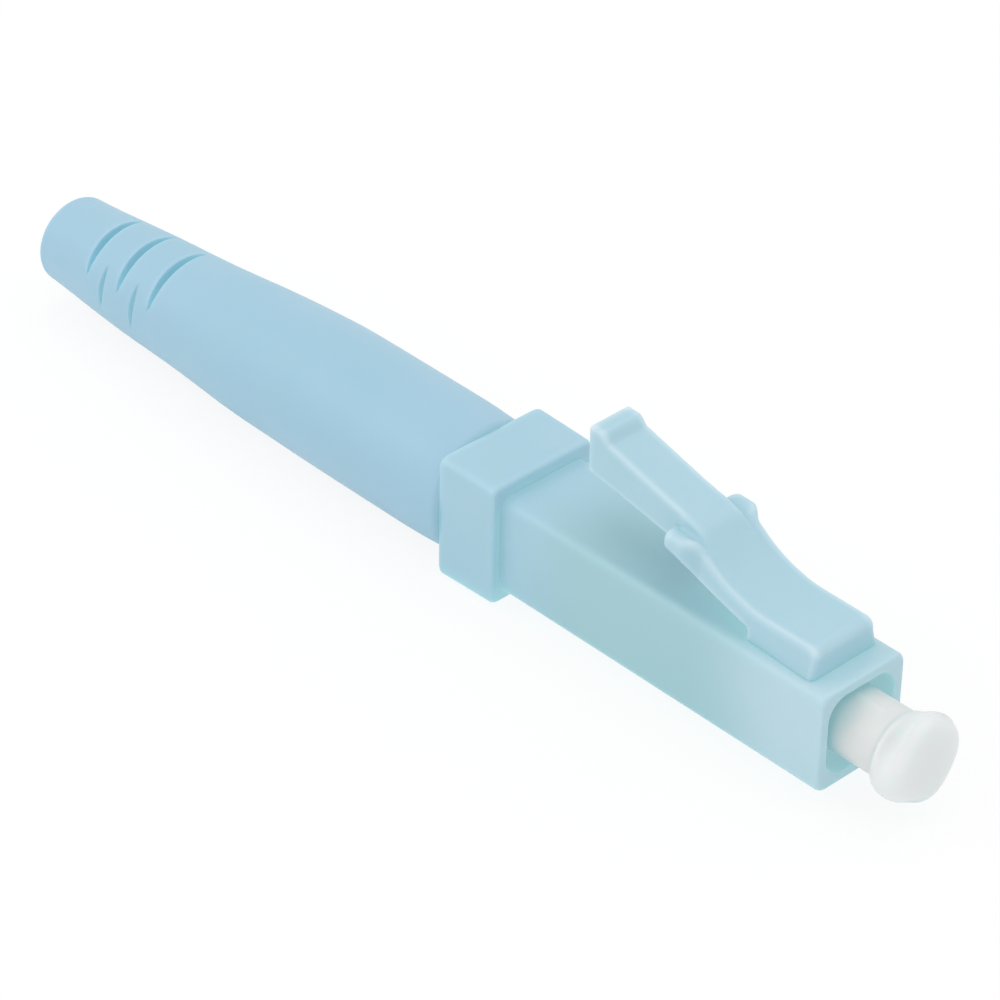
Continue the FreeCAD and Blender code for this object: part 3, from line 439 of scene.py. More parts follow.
def latch_points(sizes):
    """Latch as half sections carried back from the base's front to the free end, each mirrored across Y.
    A half section runs from the top's middle over the arm's edge, down into the valley beside the arm, over the lug
    and its outer edge, and under to the bottom's middle. The top is level, then a circle, then the arm's line; the
    valley and the lug follow that circle down to their own levels. The bottom lies inside the body up to the gap,
    whose root is a wall and a quarter circle, and then follows the lever's underside. The front edge is a quarter
    circle, and each end closes in a shrinking section."""
    body_top, half = 2.25 * MM, sizes.width / 2
    arm_half, lug_half = sizes.arm_width / 2, sizes.lug_span / 2
    front, base_rear = -sizes.front_gap, -sizes.front_gap - sizes.base_length
    base_top = body_top + sizes.base_height
    lug_rear, end, edge, foot = -sizes.lug_rear, -sizes.reach, sizes.base_edge, sizes.foot
    gap, gap_top = -sizes.gap_front, body_top + sizes.gap_height
    buried, gap_round, end_round, rear_round = mm(1.9, 0.3, 0.13, 0.36)
    gap_near, root_end, sweep_mid = gap + 0.1 * MM, -5.1 * MM, -6.4 * MM
    lug_behind, lip_front = lug_rear - 0.1 * MM, end + sizes.lip_length + 0.15 * MM

    # Rows of the top from front to rear, run by run; the root's arc and its lead share one even spacing.
    turn, end_turn = np.linspace(np.pi / 2, 0, 9), np.linspace(0, np.pi / 2, 8)[1:]
    root_turn = np.linspace(0, np.pi / 2, 10)[1:]
    root_rows = np.linspace(gap, root_end, 14)[1:]
    runs = [
        np.full(CAP_ROWS, front),
        front - edge + edge * np.sin(turn),
        np.linspace(front - edge, gap_near, 24)[1:],
        np.linspace(gap_near, gap, 7)[1:],
        root_rows[:len(root_turn)],
        root_rows[len(root_turn):],
        np.linspace(root_end, sweep_mid, 16)[1:],
        np.linspace(sweep_mid, lug_behind, 56)[1:],
        np.linspace(lug_behind, lip_front, 30)[1:],
        np.linspace(lip_front, end + end_round, 26)[1:],
        end + end_round - end_round * np.sin(end_turn),
        np.full(CAP_ROWS, end),
    ]
    x_top = np.concatenate(runs)
    rows = len(x_top)
    stops = np.cumsum([len(run) for run in runs])
    front_cap, front_edge, _, root_wall, root_arc, root_lead, *_, rear_edge, rear_cap = (
        slice(stop - len(run), stop) for run, stop in zip(runs, stops)
    )
    inset, end_inset, shrink = np.zeros(rows), np.zeros(rows), np.ones(rows)
    inset[front_cap], inset[front_edge] = edge, edge * (1 - np.cos(turn))
    end_inset[rear_edge], end_inset[rear_cap] = end_round * (1 - np.cos(end_turn)), end_round
    cap_share = np.linspace(0.04, 1, CAP_ROWS + 1)[:-1]
    shrink[front_cap], shrink[rear_cap] = cap_share, cap_share[::-1]
    # The base's upright corners, seen from above, are quarter circles too.
    corner = np.clip((x_top - front + sizes.base_corner) / sizes.base_corner, 0, 1)
    plan_inset = sizes.base_corner * (1 - np.sqrt(1 - corner ** 2))

    # The underside's path: buried, up the root's wall, round its arc, and along the lever.
    x_bottom, low = x_top.copy(), np.full(rows, buried)
    under = smooth_through(
        [end, -11.0 * MM, lug_rear, -7.3 * MM, -6.0 * MM, gap - gap_round], [*mm(4.9, 4.46, 4.03, 3.6, 3.17), gap_top],
        x_top,
    )
    wall_top = gap_top - gap_round
    x_bottom[root_wall], low[root_wall] = gap, np.linspace(buried, wall_top, 7)[1:]
    x_bottom[root_arc] = gap - gap_round * (1 - np.cos(root_turn))
    low[root_arc] = wall_top + gap_round * np.sin(root_turn)
    x_bottom[root_lead] = np.linspace(gap - gap_round, root_end, 5)[1:]
    low[root_lead] = np.interp(x_bottom[root_lead], x_top[::-1], under[::-1])
    low[root_lead.stop:] = under[root_lead.stop:]

    sweep_z = base_top + sizes.sweep_radius
    drop = np.clip(base_rear - x_top, 0, sizes.sweep_radius * 0.98)
    circle = sweep_z - np.sqrt(sizes.sweep_radius ** 2 - drop ** 2)
    arm = smooth_through(
        [end, *mm(-12.4, -11.7, -11.0, -10.1, -9.3, -8.5, -7.7, -6.8)],
        mm(6.63, 6.52, 6.33, 6.14, 5.9, 5.69, 5.51, 5.31, 5.1), x_top,
    )
    ahead = smoothstep(-6.9 * MM, -6.5 * MM, x_top)
    top = soft_min(circle, arm + ahead * 1.5 * MM, 0.22 * MM)
    along_lip = smoothstep(end + sizes.lip_length, end + sizes.lip_length * 0.6, x_top)
    top = top + sizes.lip_rise * along_lip - inset - end_inset
    hollow = np.minimum(soft_min(circle, sizes.hollow_floor, 0.3 * MM), top)
    shoulder = np.minimum(soft_min(circle, sizes.lug_top, 0.12 * MM), top)

    # Outer half width: the base's, out to the lugs, round their rear, and in to the arm's.
    out = smoothstep(-6.95 * MM, -7.75 * MM, x_top)
    past = np.clip((lug_rear + rear_round - x_top) / rear_round, 0, 1)
    behind = past >= 1
    tip = rear_round * (1 - np.sqrt(1 - past ** 2))
    outer = half + (lug_half - half) * out
    outer = arm_half + (outer - arm_half) * np.sqrt(1 - past ** 2)
    # Behind the lugs the valley and the lug fade into the arm's side.
    away = smoothstep(lug_rear, lug_rear - 0.8 * MM, x_top)
    side_top = np.where(behind, top - 0.35 * (top - low), hollow)
    lug_z = np.where(behind, sizes.hollow_floor - 0.1 * MM, shoulder - tip)
    lug_z = lug_z + away * (top - 0.6 * (top - low) - lug_z)
    valley_z = np.where(behind, sizes.hollow_floor, hollow)
    valley_z = valley_z + away * (side_top - valley_z)
    lug_under = low + 0.12 * MM + out * (sizes.lug_lift - 0.12 * MM + tip * 0.8)
    lug_under = lug_under + away * (low + 0.2 * (top - low) - lug_under)
    bottom_half = half + (arm_half - half) * smoothstep(-7.1 * MM, -7.9 * MM, x_top)

    squeeze = plan_inset + end_inset
    arm_y = arm_half - end_inset - inset * arm_half / half
    valley_y = np.where(behind, arm_half, arm_half + 0.16 * MM * (1 - past)) - squeeze
    outer_y = outer - squeeze
    inner_y = valley_y + (outer_y - valley_y) * (0.4 - 0.12 * past)
    inner_z = np.where(behind, (valley_z + lug_z) / 2, lug_z)
    low_edge, zero = low + end_inset, np.zeros(rows)
    share = np.array([0.0, 0.0, 0.1, 0.2, 0.35, 0.75, 1.0, 1.0])
    xs = x_top[:, None] + (x_bottom - x_top)[:, None] * share
    ys = np.stack([zero, arm_y, valley_y, inner_y, outer_y, outer_y, bottom_half - squeeze, zero], axis=1)
    zs = np.stack([top, top, valley_z, inner_z, lug_z, lug_under, low_edge, low_edge], axis=1)
    middle_z = (top + low_edge)[:, None] / 2
    ys, zs = ys * shrink[:, None], middle_z + (zs - middle_z) * shrink[:, None]

    on_lug = out * (1 - past)
    flat = edge * (1 - inset / edge * 0.6)
    outer_radius = np.where(behind, 0.02 * MM, flat * (1 - on_lug) + 0.3 * MM * on_lug)
    radii = np.stack([
        zero, sizes.arm_edge + 0.04 * MM * along_lip, 0.2 * MM * (1 - past), 0.26 * MM * (1 - past), outer_radius,
        0.3 * MM * on_lug, zero + 0.1 * MM, zero,
    ], axis=1) * shrink[:, None]
    near_half = eased(np.stack([xs, -ys, zs], axis=-1), radii, steps=6, hold=0.05 * MM)
    far_half = near_half[:, -2:0:-1] * np.array([1, -1, 1])
    points = np.concatenate([near_half, far_half], axis=1)

    # The foot flares out where the base meets the body, by foot - sqrt(foot^2 - (foot - height)^2), and fades to a
    # third towards the gap. It goes forward less than sideways.
    height = np.clip(points[..., 2] - body_top, 0, foot)
    flare = foot - np.sqrt(foot ** 2 - (foot - height) ** 2)
    facing = np.arcsin(corner)
    in_base = (x_top > gap + 0.12 * MM)[:, None]
    on_side = np.clip(np.abs(points[..., 1]) / (half * 0.9), 0, 1) ** 6
    spread = np.where(x_bottom > gap - TINY, 0.35 + 0.65 * smoothstep(gap, front, x_bottom), 0)
    points[..., 0] += np.where(in_base, 0.15 * flare * np.sin(facing)[:, None], 0)
    points[..., 1] += np.sign(points[..., 1]) * on_side * flare * (spread * np.cos(facing))[:, None]
    return points


def boot_points(sizes):
    """Boot as one wall carried round its axis: over the skin from the mouth to the tail, round the rim, and back
    through the cable's bore and the sleeve's pocket. The skin's radius R follows a smooth curve, and each slit
    cuts it square across: radius = soft minimum of R and h / cos(angle from the slit's middle), where h rises
    from the slit's floor to R along its slanting walls. The middle of each section rises a little over the barrel
    and sags towards the tail. Returns the points and how deep in a slit each lies."""
    reaches = np.array([
        0, 0.9, 1.9, 4.0, 6.5, 8.9, 9.9, 10.9, 11.9, 12.9, 13.9, 14.9, 15.9, 16.9, 17.9, 18.9, 19.9, 20.9, 21.9,
        22.9, 23.9, 24.9, 26.1,
    ]) * MM
    across = np.array([
        5.74, 5.84, 5.93, 5.96, 5.96, 5.94, 5.9, 5.83, 5.76, 5.67, 5.55, 5.4, 5.24, 5.09, 4.97, 4.87, 4.78, 4.67,
        4.53, 4.38, 4.22, 4.07, 3.92,
    ]) * MM
    tail = COLLAR_REAR - TAIL_X
    slit_s = sizes.slit_first + sizes.slit_pitch * np.arange(sizes.slit_count)
    local = np.concatenate([
        np.linspace(-0.45, -0.27, 4), np.linspace(-0.24, -0.06, 9), [0.0], np.linspace(0.06, 0.24, 9),
        np.linspace(0.27, 0.45, 4),
    ]) * MM
    s_skin = np.concatenate([
        np.linspace(0, slit_s[0] - 0.6 * MM, 44), (slit_s[:, None] + local).reshape(-1),
        np.linspace(slit_s[-1] + 0.6 * MM, tail - sizes.rim - 0.02 * MM, 12),
    ])
    radius = smooth_through(reaches, across / 2, s_skin)
    rim_turn = np.linspace(0, np.pi / 2, 9)
    end_radius = float(smooth_through(reaches, across / 2, np.array([tail]))[0])
    s_rim = tail - sizes.rim + sizes.rim * np.sin(rim_turn)
    r_rim = end_radius + 0.02 * MM - sizes.rim + sizes.rim * np.cos(rim_turn)
    bore, pocket, pocket_end, soft = mm(1.05, 2.05, 8.9, 0.08)
    inner = eased(np.array([[
        [tail, r_rim[-1] - 0.1 * MM], [tail, bore], [pocket_end, bore], [pocket_end, pocket], [0, pocket],
        [0, radius[0]],
    ]]), np.array([[0, soft, soft, soft, soft, 0]]))[0, :-1]
    s = np.concatenate([s_skin, s_rim, inner[:, 0]])
    r = np.concatenate([radius, r_rim, inner[:, 1]])

    angle = np.linspace(0, 2 * np.pi, 288, endpoint=False)[None]
    reach = r[:, None] + 0 * angle
    skin = np.arange(len(s)) < len(s_skin)
    for number in range(sizes.slit_count):
        away = np.abs(s - slit_s[number])
        deep, mouth = ((sizes.slit_depth, sizes.slit_mouth), (sizes.cross_depth, sizes.cross_mouth))[number % 2]
        wall = np.clip((away - sizes.slit_floor / 2) / ((mouth - sizes.slit_floor) / 2), 0, 3)
        floor = r - deep + deep * wall
        turn = sizes.clocking + sizes.cross_turn * (number % 2)
        facing = np.maximum(np.abs(np.cos(angle - turn)), 0.05)
        cut = soft_min(reach, floor[:, None] / facing, 0.045 * MM)
        reach = np.where(skin[:, None] & (wall < 3)[:, None], cut, reach)
    # How deep in a slit each point lies: the boot's material paints shade and glow from it.
    depth = np.clip((r[:, None] - reach) / (sizes.slit_depth * 0.8), 0, 1)
    outside = np.arange(len(s)) < len(s_skin) + len(s_rim)
    lift = np.where(outside, sizes.rise * (1 - smoothstep(9 * MM, 14 * MM, s)), 0)
    centre = lift - sizes.sag * smoothstep(9 * MM, 25 * MM, s)
    return turned(COLLAR_REAR - s, reach, angle, off_z=centre[:, None]), depth


def cap_points(sizes):
    """Dust cap turned about the axis from the middle of its domed front, over the head and tube, and in to the end
    of its bore. Ahead of the tube the circle's centre lies off the axis towards -Y and -Z, so the head steps out of
    the tube on one side and flares from it on the other: reach = soft maximum of the tube's and the head's. The head
    is a little out of round and off the axis: its reach is multiplied by 1 + the sum of HEAD_WAVES."""
    tube, head, back = sizes.tube_diameter / 2, sizes.head_diameter / 2, sizes.head_back / 2
    bore, crown, start = sizes.bore_diameter / 2, sizes.crown, sizes.head_start
    dome, ring_round = 0.07 * MM, 0.33 * MM
    # The front is a parabola of rotation, tangent to the crown's circle where the circle has turned by the tilt.
    tilt = math.atan(2 * dome / (head - crown))
    rim = head - crown + crown * math.sin(tilt)
    centre = CAP_FRONT - dome - crown * math.cos(tilt)
    turn, back_turn = np.linspace(np.pi / 2 - tilt, 0, 12), np.linspace(0, np.pi / 2, 14)
    r_front = np.linspace(0.08, 0.95, 9) * rim
    x_front = CAP_FRONT - dome * (r_front / rim) ** 2
    x_crown, r_crown = centre + crown * np.sin(turn), head - crown + crown * np.cos(turn)
    x_flare = np.linspace(centre, start + ring_round, 18)[1:-1]
    share = (x_flare - start - ring_round) / (centre - start - ring_round)
    r_flare = back + (head - back) * np.sin(share * np.pi / 2)
    x_back = start + ring_round - ring_round * np.sin(back_turn)
    r_back = back - ring_round + ring_round * np.cos(back_turn)
    x_face, r_face = np.full(6, start), np.linspace(back - ring_round, tube - 0.25 * MM, 7)[1:]
    tube_path = [[x, tube] for x in (start - 0.02 * MM, *mm(1.5, 1.0, -0.9, -1.4), CAP_REAR)]
    bore_path = [[CAP_REAR, bore], [sizes.bore_end, bore], [sizes.bore_end, 0.08 * MM]]
    inner = eased(np.array([tube_path + bore_path]), np.array([mm(0, 0.2, 0.2, 0.2, 0.2, 0.1, 0.05, 0.15, 0)]))[0]
    x = np.concatenate([x_front, x_crown, x_flare, x_back, x_face, inner[:, 0]])
    r = np.concatenate([r_front, r_crown, r_flare, r_back, r_face, inner[:, 1]])
    in_head = np.arange(len(x)) < len(x) - len(inner)

    angle = np.linspace(0, 2 * np.pi, 160, endpoint=False)[None]
    lean = np.cos(angle - math.radians(225))
    off = np.interp(x, [start, centre], [sizes.head_offset * math.sqrt(2), 0])
    reach = r[:, None] + (off[:, None] * lean) * in_head[:, None]
    fillet = 0.08 * MM + 0.3 * MM * (1 - lean) / 2
    behind_crown = (x < centre) & in_head
    reach = np.where(behind_crown[:, None], soft_max(reach, tube, fillet), reach)
    # Seam of the mould: a low ridge along the top of the tube.
    along_seam = smoothstep(-1.4 * MM, -0.9 * MM, x) - smoothstep(1.0 * MM, 1.5 * MM, x)
    seam = SEAM_RISE * np.exp(-((angle - SEAM_AT) / SEAM_SPREAD) ** 2) * along_seam[:, None]
    reach = reach + np.where(reach > tube - 0.01 * MM, seam, 0)
    lumps = sum(size * np.cos(waves * angle - math.radians(peak)) for waves, size, peak in HEAD_WAVES)
    headed = (smoothstep(start, start + 0.5 * MM, x) * in_head)[:, None]
    return turned(x, reach * (1 + headed * lumps), angle, HEAD_SHIFT[0] * headed, HEAD_SHIFT[1] * headed)


def spring_points(low, high):
    """Coil spring: a circle of wire carried along a helix about the axis. The helix's centre line is
    (rise t, radius cos a, radius sin a) with a turning evenly; the circle lies across its tangent."""
    wire, per_turn = SPRING_WIRE / 2, 36
    radius = (high.y - low.y) / 2 - wire
    rise = high.x - low.x - 2 * wire
    along = np.linspace(0, 1, SPRING_TURNS * per_turn + 1)[:, None]
    angle = 2 * np.pi * SPRING_TURNS * along
    zero = np.zeros_like(angle)
    start = low.x - NOSE_X + wire
    centre = np.concatenate([start + rise * along, radius * np.cos(angle), radius * np.sin(angle)], axis=1)
    outward = np.concatenate([zero, np.cos(angle), np.sin(angle)], axis=1)
    climb = rise / (2 * np.pi * SPRING_TURNS)
    tangent = np.concatenate([zero + climb, -radius * np.sin(angle), radius * np.cos(angle)], axis=1)
    across = np.cross(outward, tangent / np.linalg.norm(tangent, axis=1, keepdims=True))
    around = np.linspace(0, 2 * np.pi, 12, endpoint=False)[None, :, None]
    return centre[:, None] + wire * (np.cos(around) * outward[:, None] + np.sin(around) * across[:, None])


def ferrule_points():
    """Ferrule turned about the axis from its tip's fibre hole to its chamfered rear."""
    radius = (FERRULE_HIGH.y - FERRULE_LOW.y) / 2
    front, rear = FERRULE_HIGH.x - NOSE_X, FERRULE_LOW.x - NOSE_X
    chamfer, hole = mm(0.25, 0.063)
    profile = eased(np.array([[
        [front - 0.3 * MM, 0.01 * MM], [front - 0.3 * MM, hole], [front, hole], [front, radius - chamfer * 0.6],
        [front - chamfer, radius], [rear, radius], [rear, 0.01 * MM],
    ]]), np.array([mm(0, 0.01, 0.01, 0.03, 0.05, 0.03, 0)]), steps=4)[0]
    return turned(profile[:, 0], profile[:, 1:], np.linspace(0, 2 * np.pi, 72, endpoint=False)[None])


# ---------------------------------------------------------------- finishes

def linear(hex_colour):
    """sRGB hex colour as linear RGBA."""
    parts = np.array([int(hex_colour[k:k + 2], 16) for k in (1, 3, 5)]) / 255
    made = np.where(parts <= 0.04045, parts / 12.92, ((parts + 0.055) / 1.055) ** 2.4)
    return (*made.tolist(), 1.0)


def add_node(owner, kind, settings=None, links=None):
    """Adds a shader node of a kind, sets its own settings or sockets by name, and links sockets to other nodes: to
    the first output of one given alone, or to the output named in (node, output)."""
    tree = owner.node_tree
    node = tree.nodes.new("ShaderNode" + kind)
    for key, value in (settings or {}).items():
        if isinstance(key, int) or key in node.inputs:
            node.inputs[key].default_value = value
        else:
            setattr(node, key, value)
    for key, source in (links or {}).items():
        source, output = source if isinstance(source, tuple) else (source, 0)
        tree.links.new(source.outputs[output], node.inputs[key])
    return node


def new_material(name):
    """Empty node material, and add_node for it."""
    material = bpy.data.materials.new(name)
    material.use_nodes = True
    material.node_tree.nodes.clear()
    return material, partial(add_node, material)


def moulded(name, tones, roughness, ior, scatter, grain, crease, cavity, bands=(), attribute=False, soak=0.5 * MM):
    """Injection-moulded plastic: an even satin skin with a fine spark-eroded grain, cloudy flow of pigment over a few
    millimetres, light that soaks in, a painted highlight (a paler colour) along thin edges that face up, and painted
    shade (a fuller colour) where walls face each other closely, where a painted glow, an emission, stands in for light
    carried through the plastic. tones are the colours of the skin, of the painted highlight on its thin edges, of the
    painted shade in its hollows and of the painted glow in them. crease and cavity are how wide the creases and hollows
    are that it looks for, and soak how far light goes in. bands are (colour, x where it starts, x where it is full),
    colours that the skin shifts to along x. A real eroded grain is about 0.03 mm wide; it is drawn several times
    wider, so that it shows."""
    surface, thin, deep, carried = tones
    # crease_painted_glow: the share of the painted glow that creases get; wide hollows get it in full.
    crease_painted_glow = 0.3 if attribute else 0.08
    material, add = new_material(name)
    place = add("TexCoord")
    along = add("SeparateXYZ", {}, {0: (place, "Object")})
    flow, skin = (
        add("TexNoise", {"Scale": 1 / width, "Detail": 2.0, "Roughness": fineness}, {"Vector": (place, "Object")})
        for width, fineness in ((5 * MM, 0.4), (grain, 0.5))
    )
    # Painted shade and highlight from ambient occlusion: open air outside the wall, near (creases) and wide (hollows),
    # for the painted shade, and how far the wall goes on inside it, for the painted highlight on thin edges.
    crease_shade, hollow_shade, edge_highlight = (
        add(
            "MapRange", {**FADING, "From Min": shut, "From Max": open_air},
            {"Value": (add("AmbientOcclusion", {"samples": 8, **look}), "AO")},
        )
        for look, shut, open_air in (
            ({"Distance": crease}, 0.4, 0.88),
            ({"Distance": cavity}, 0.08, 0.82),
            ({"Distance": 0.45 * MM, "inside": True, "only_local": True}, 0.35, 0.9),
        )
    )
    # Painted highlight: thin edges that face up, less where painted shade lies in a hollow.
    facing = add("SeparateXYZ", {}, {0: (place, "Normal")})
    upward = add("MapRange", {"From Min": -0.4, "From Max": 0.35}, {"Value": (facing, "Z")})
    upward_edge_highlight = add("Math", {"operation": "MULTIPLY"}, {0: edge_highlight, 1: upward})
    edge = add("Math", {"operation": "SUBTRACT", "use_clamp": True}, {0: upward_edge_highlight, 1: hollow_shade})
    # Painted shade: the more closed in of creases and hollows.
    depth = add("Math", {"operation": "MAXIMUM"}, {0: hollow_shade, 1: crease_shade})
    # Painted glow: emission strength in creases and hollows, standing in for light carried through the plastic.
    glow = add("Math", {"operation": "MULTIPLY_ADD", 1: crease_painted_glow}, {0: crease_shade, 2: hollow_shade})
    # On the boot, how deep a point lies in a slit adds painted shade too.
    if attribute:
        slit = add("Attribute", {"attribute_name": "hollow"})
        depth = add("Math", {"operation": "MAXIMUM"}, {0: depth, 1: (slit, "Fac")})
    shade = add("RGB")
    shade.outputs[0].default_value = linear(surface)
    for tone, start, full in bands:
        span = {"interpolation_type": "SMOOTHSTEP", "From Min": start, "From Max": full}
        share = add("MapRange", span, {"Value": (along, "X")})
        shade = (add("Mix", {"data_type": "RGBA", MIX_TO: linear(tone)}, {0: share, MIX_FROM: shade}), MIXED)
    cloud = add("MapRange", {**NOISE_SPAN, "To Min": -0.05, "To Max": 0.1}, {"Value": flow})
    # Painted shade together with the real cloudy pigment.
    shade_and_pigment = add("Math", {"operation": "ADD", "use_clamp": True}, {0: depth, 1: cloud})
    # The painted highlight, then the painted shade with the pigment clouds, mixed over the skin's colour.
    for tone, share in ((thin, edge), (deep, shade_and_pigment)):
        shade = (add("Mix", {"data_type": "RGBA", MIX_TO: linear(tone)}, {0: share, MIX_FROM: shade}), MIXED)
    gloss = add("MapRange", {**NOISE_SPAN, "To Min": roughness - 0.04, "To Max": roughness + 0.04}, {"Value": flow})
    bump = add("Bump", {"Strength": 0.08, "Distance": 0.01 * MM}, {"Height": skin})
    shader = add(
        "BsdfPrincipled",
        {"IOR": ior, "Subsurface Weight": scatter, "Subsurface Radius": (0.6, 0.9, 1.0), "Subsurface Scale": soak,
         "Emission Color": linear(carried)},
        {"Base Color": shade, "Roughness": gloss, "Normal": bump, "Emission Strength": glow},
    )
    add("OutputMaterial", {}, {"Surface": shader})
    return material


def worked_metal(name, surface, roughness, lines):
    """Metal turned or drawn: fine rings round the axis, drawn wide enough to show, that streak its gloss. lines is
    the width of a ring."""
    material, add = new_material(name)
    place = add("TexCoord")
    stretch = add("Mapping", {"Scale": (1 / lines, 0.02 / lines, 0.02 / lines)}, {"Vector": (place, "Object")})
    rings = add("TexNoise", {"Scale": 1.0, "Detail": 2.0}, {"Vector": stretch})
    gloss = add("MapRange", {**NOISE_SPAN, "To Min": roughness - 0.08, "To Max": roughness + 0.08}, {"Value": rings})
    bump = add("Bump", {"Strength": 0.15, "Distance": 0.004 * MM}, {"Height": rings})
    shader = add(
        "BsdfPrincipled", {"Base Color": linear(surface), "Metallic": 1.0}, {"Roughness": gloss, "Normal": bump}
    )
    add("OutputMaterial", {}, {"Surface": shader})
    return material


def polished(name, surface, roughness, ior, scatter, grain):
    """Dense pale solid, ground or extruded: a clean gloss over faint clouding, with a little light let in. grain is
    the width of the clouds."""
    material, add = new_material(name)
    place = add("TexCoord")
    cloud = add("TexNoise", {"Scale": 1 / grain, "Detail": 2.0}, {"Vector": (place, "Object")})
    gloss = add("MapRange", {**NOISE_SPAN, "To Min": roughness - 0.03, "To Max": roughness + 0.03}, {"Value": cloud})
    shader = add(
        "BsdfPrincipled",
        {"Base Color": linear(surface), "IOR": ior, "Subsurface Weight": scatter, "Subsurface Radius": (1.0, 0.9, 0.8),
         "Subsurface Scale": 0.2 * MM},
        {"Roughness": gloss},
    )
    add("OutputMaterial", {}, {"Surface": shader})
    return material


def to_the_eye(add):
    """Node that is 1 where the camera, a reflection or glass looks, and 0 for the light that falls on the object."""
    path = add("LightPath")
    seen = add("Math", {"operation": "MAXIMUM"}, {0: (path, "Is Camera Ray"), 1: (path, "Is Glossy Ray")})
    return add("Math", {"operation": "MAXIMUM"}, {0: seen, 1: (path, "Is Transmission Ray")})


def cast(piece, material, body=None, node=None):
    """Gives a piece its material and, where named, its body, and hides the CAD node that it stands for."""
    piece.data.materials.clear()
    piece.data.materials.append(material)
    if body:
        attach(piece, body)
    if node:
        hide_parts(node)


def dress_node(node, material):
    """Puts a material on a CAD node that keeps its shape."""
    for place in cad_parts[node].material_slots:
        place.material = material


# ---------------------------------------------------------------- operators

class CONNECTOR_OT_housing(bpy.types.Operator):
    """Build the plug body with its collar and nose opening"""

    bl_idname = "connector.housing"
    bl_label = "Build housing"

    def execute(self, context):
        scene = context.scene
        colours = scene.connector_colours
        piece = skin_mesh("plug_body", housing_points(scene.connector_housing), loop=True)
        # PBT polyester: an even pale satin, greener in its middle than towards the nose and the collar.
        front, rear = NOSE_X - 1.5 * MM, NOSE_X - 17 * MM
        plastic = moulded(
            "moulded_pbt_housing",
            (colours.plastic, colours.plastic_painted_highlight, colours.plastic_painted_shade, colours.plastic_painted_glow),
            roughness=0.42, ior=1.55, scatter=0.35, grain=0.12 * MM, crease=0.25 * MM, cavity=2.0 * MM,
            bands=[(colours.plastic_front, front - 6 * MM, front), (colours.plastic_rear, rear + 5 * MM, rear)],
        )
        cast(piece, plastic, "plug", "housing")
        return {"FINISHED"}


class CONNECTOR_OT_latch(bpy.types.Operator):
    """Build the latch with its base, side lugs, arm and thumb lip"""

    bl_idname = "connector.latch"
    bl_label = "Build latch"

    def execute(self, context):
        scene = context.scene
        colours = scene.connector_colours
        piece = skin_mesh("latch", latch_points(scene.connector_latch))
        # The same PBT, painted paler where the thin lever lets light through, with a painted highlight, almost white,
        # along its upper edges.
        plastic = moulded(
            "moulded_pbt_latch_painted_paler", (colours.latch, colours.latch_painted_highlight, colours.plastic_painted_shade, colours.latch_painted_glow),
            roughness=0.4, ior=1.55, scatter=0.35, grain=0.12 * MM, crease=0.2 * MM, cavity=1.2 * MM,
        )
        cast(piece, plastic, node="latch_lever")
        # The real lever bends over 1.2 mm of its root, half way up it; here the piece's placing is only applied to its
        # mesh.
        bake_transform(piece)
        return {"FINISHED"}


class CONNECTOR_OT_boot(bpy.types.Operator):
    """Build the strain-relief boot with its slits"""

    bl_idname = "connector.boot"
    bl_label = "Build boot"

    def execute(self, context):
        scene = context.scene
        colours = scene.connector_colours
        points, depth = boot_points(scene.connector_boot)
        piece = skin_mesh("strain_relief", points, loop=True, attribute=depth)
        # Thermoplastic elastomer: a softer, duller satin, with a fuller blue painted shade and a painted glow inside
        # its slits.
        rubber = moulded(
            "moulded_tpe_boot", (colours.boot, colours.boot_painted_highlight, colours.boot_painted_shade, colours.boot_painted_glow),
            roughness=0.5, ior=1.5, scatter=0.4, grain=0.15 * MM, crease=0.2 * MM, cavity=0.5 * MM, attribute=True,
        )
        cast(piece, rubber, "plug", "boot")
        return {"FINISHED"}


class CONNECTOR_OT_cap(bpy.types.Operator):
    """Build the dust cap over the ferrule"""

    bl_idname = "connector.cap"
    bl_label = "Build dust cap"

    def execute(self, context):
        scene = context.scene
        colours = scene.connector_colours
        piece = skin_mesh("ferrule_cap", cap_points(scene.connector_cap))
        # Low-density polyethylene: milky and waxy, with a teal painted shade, for the housing's coloured light, where
        # it goes in.
        waxy = moulded(
            "moulded_ldpe_cap", (colours.cap, colours.cap_painted_highlight, colours.cap_painted_shade, colours.cap_painted_glow),
            roughness=0.46, ior=1.51, scatter=0.8, grain=0.2 * MM, crease=0.2 * MM, cavity=2.6 * MM, soak=1.8 * MM,
        )
        cast(piece, waxy, "cap", "dust_cap")
        return {"FINISHED"}


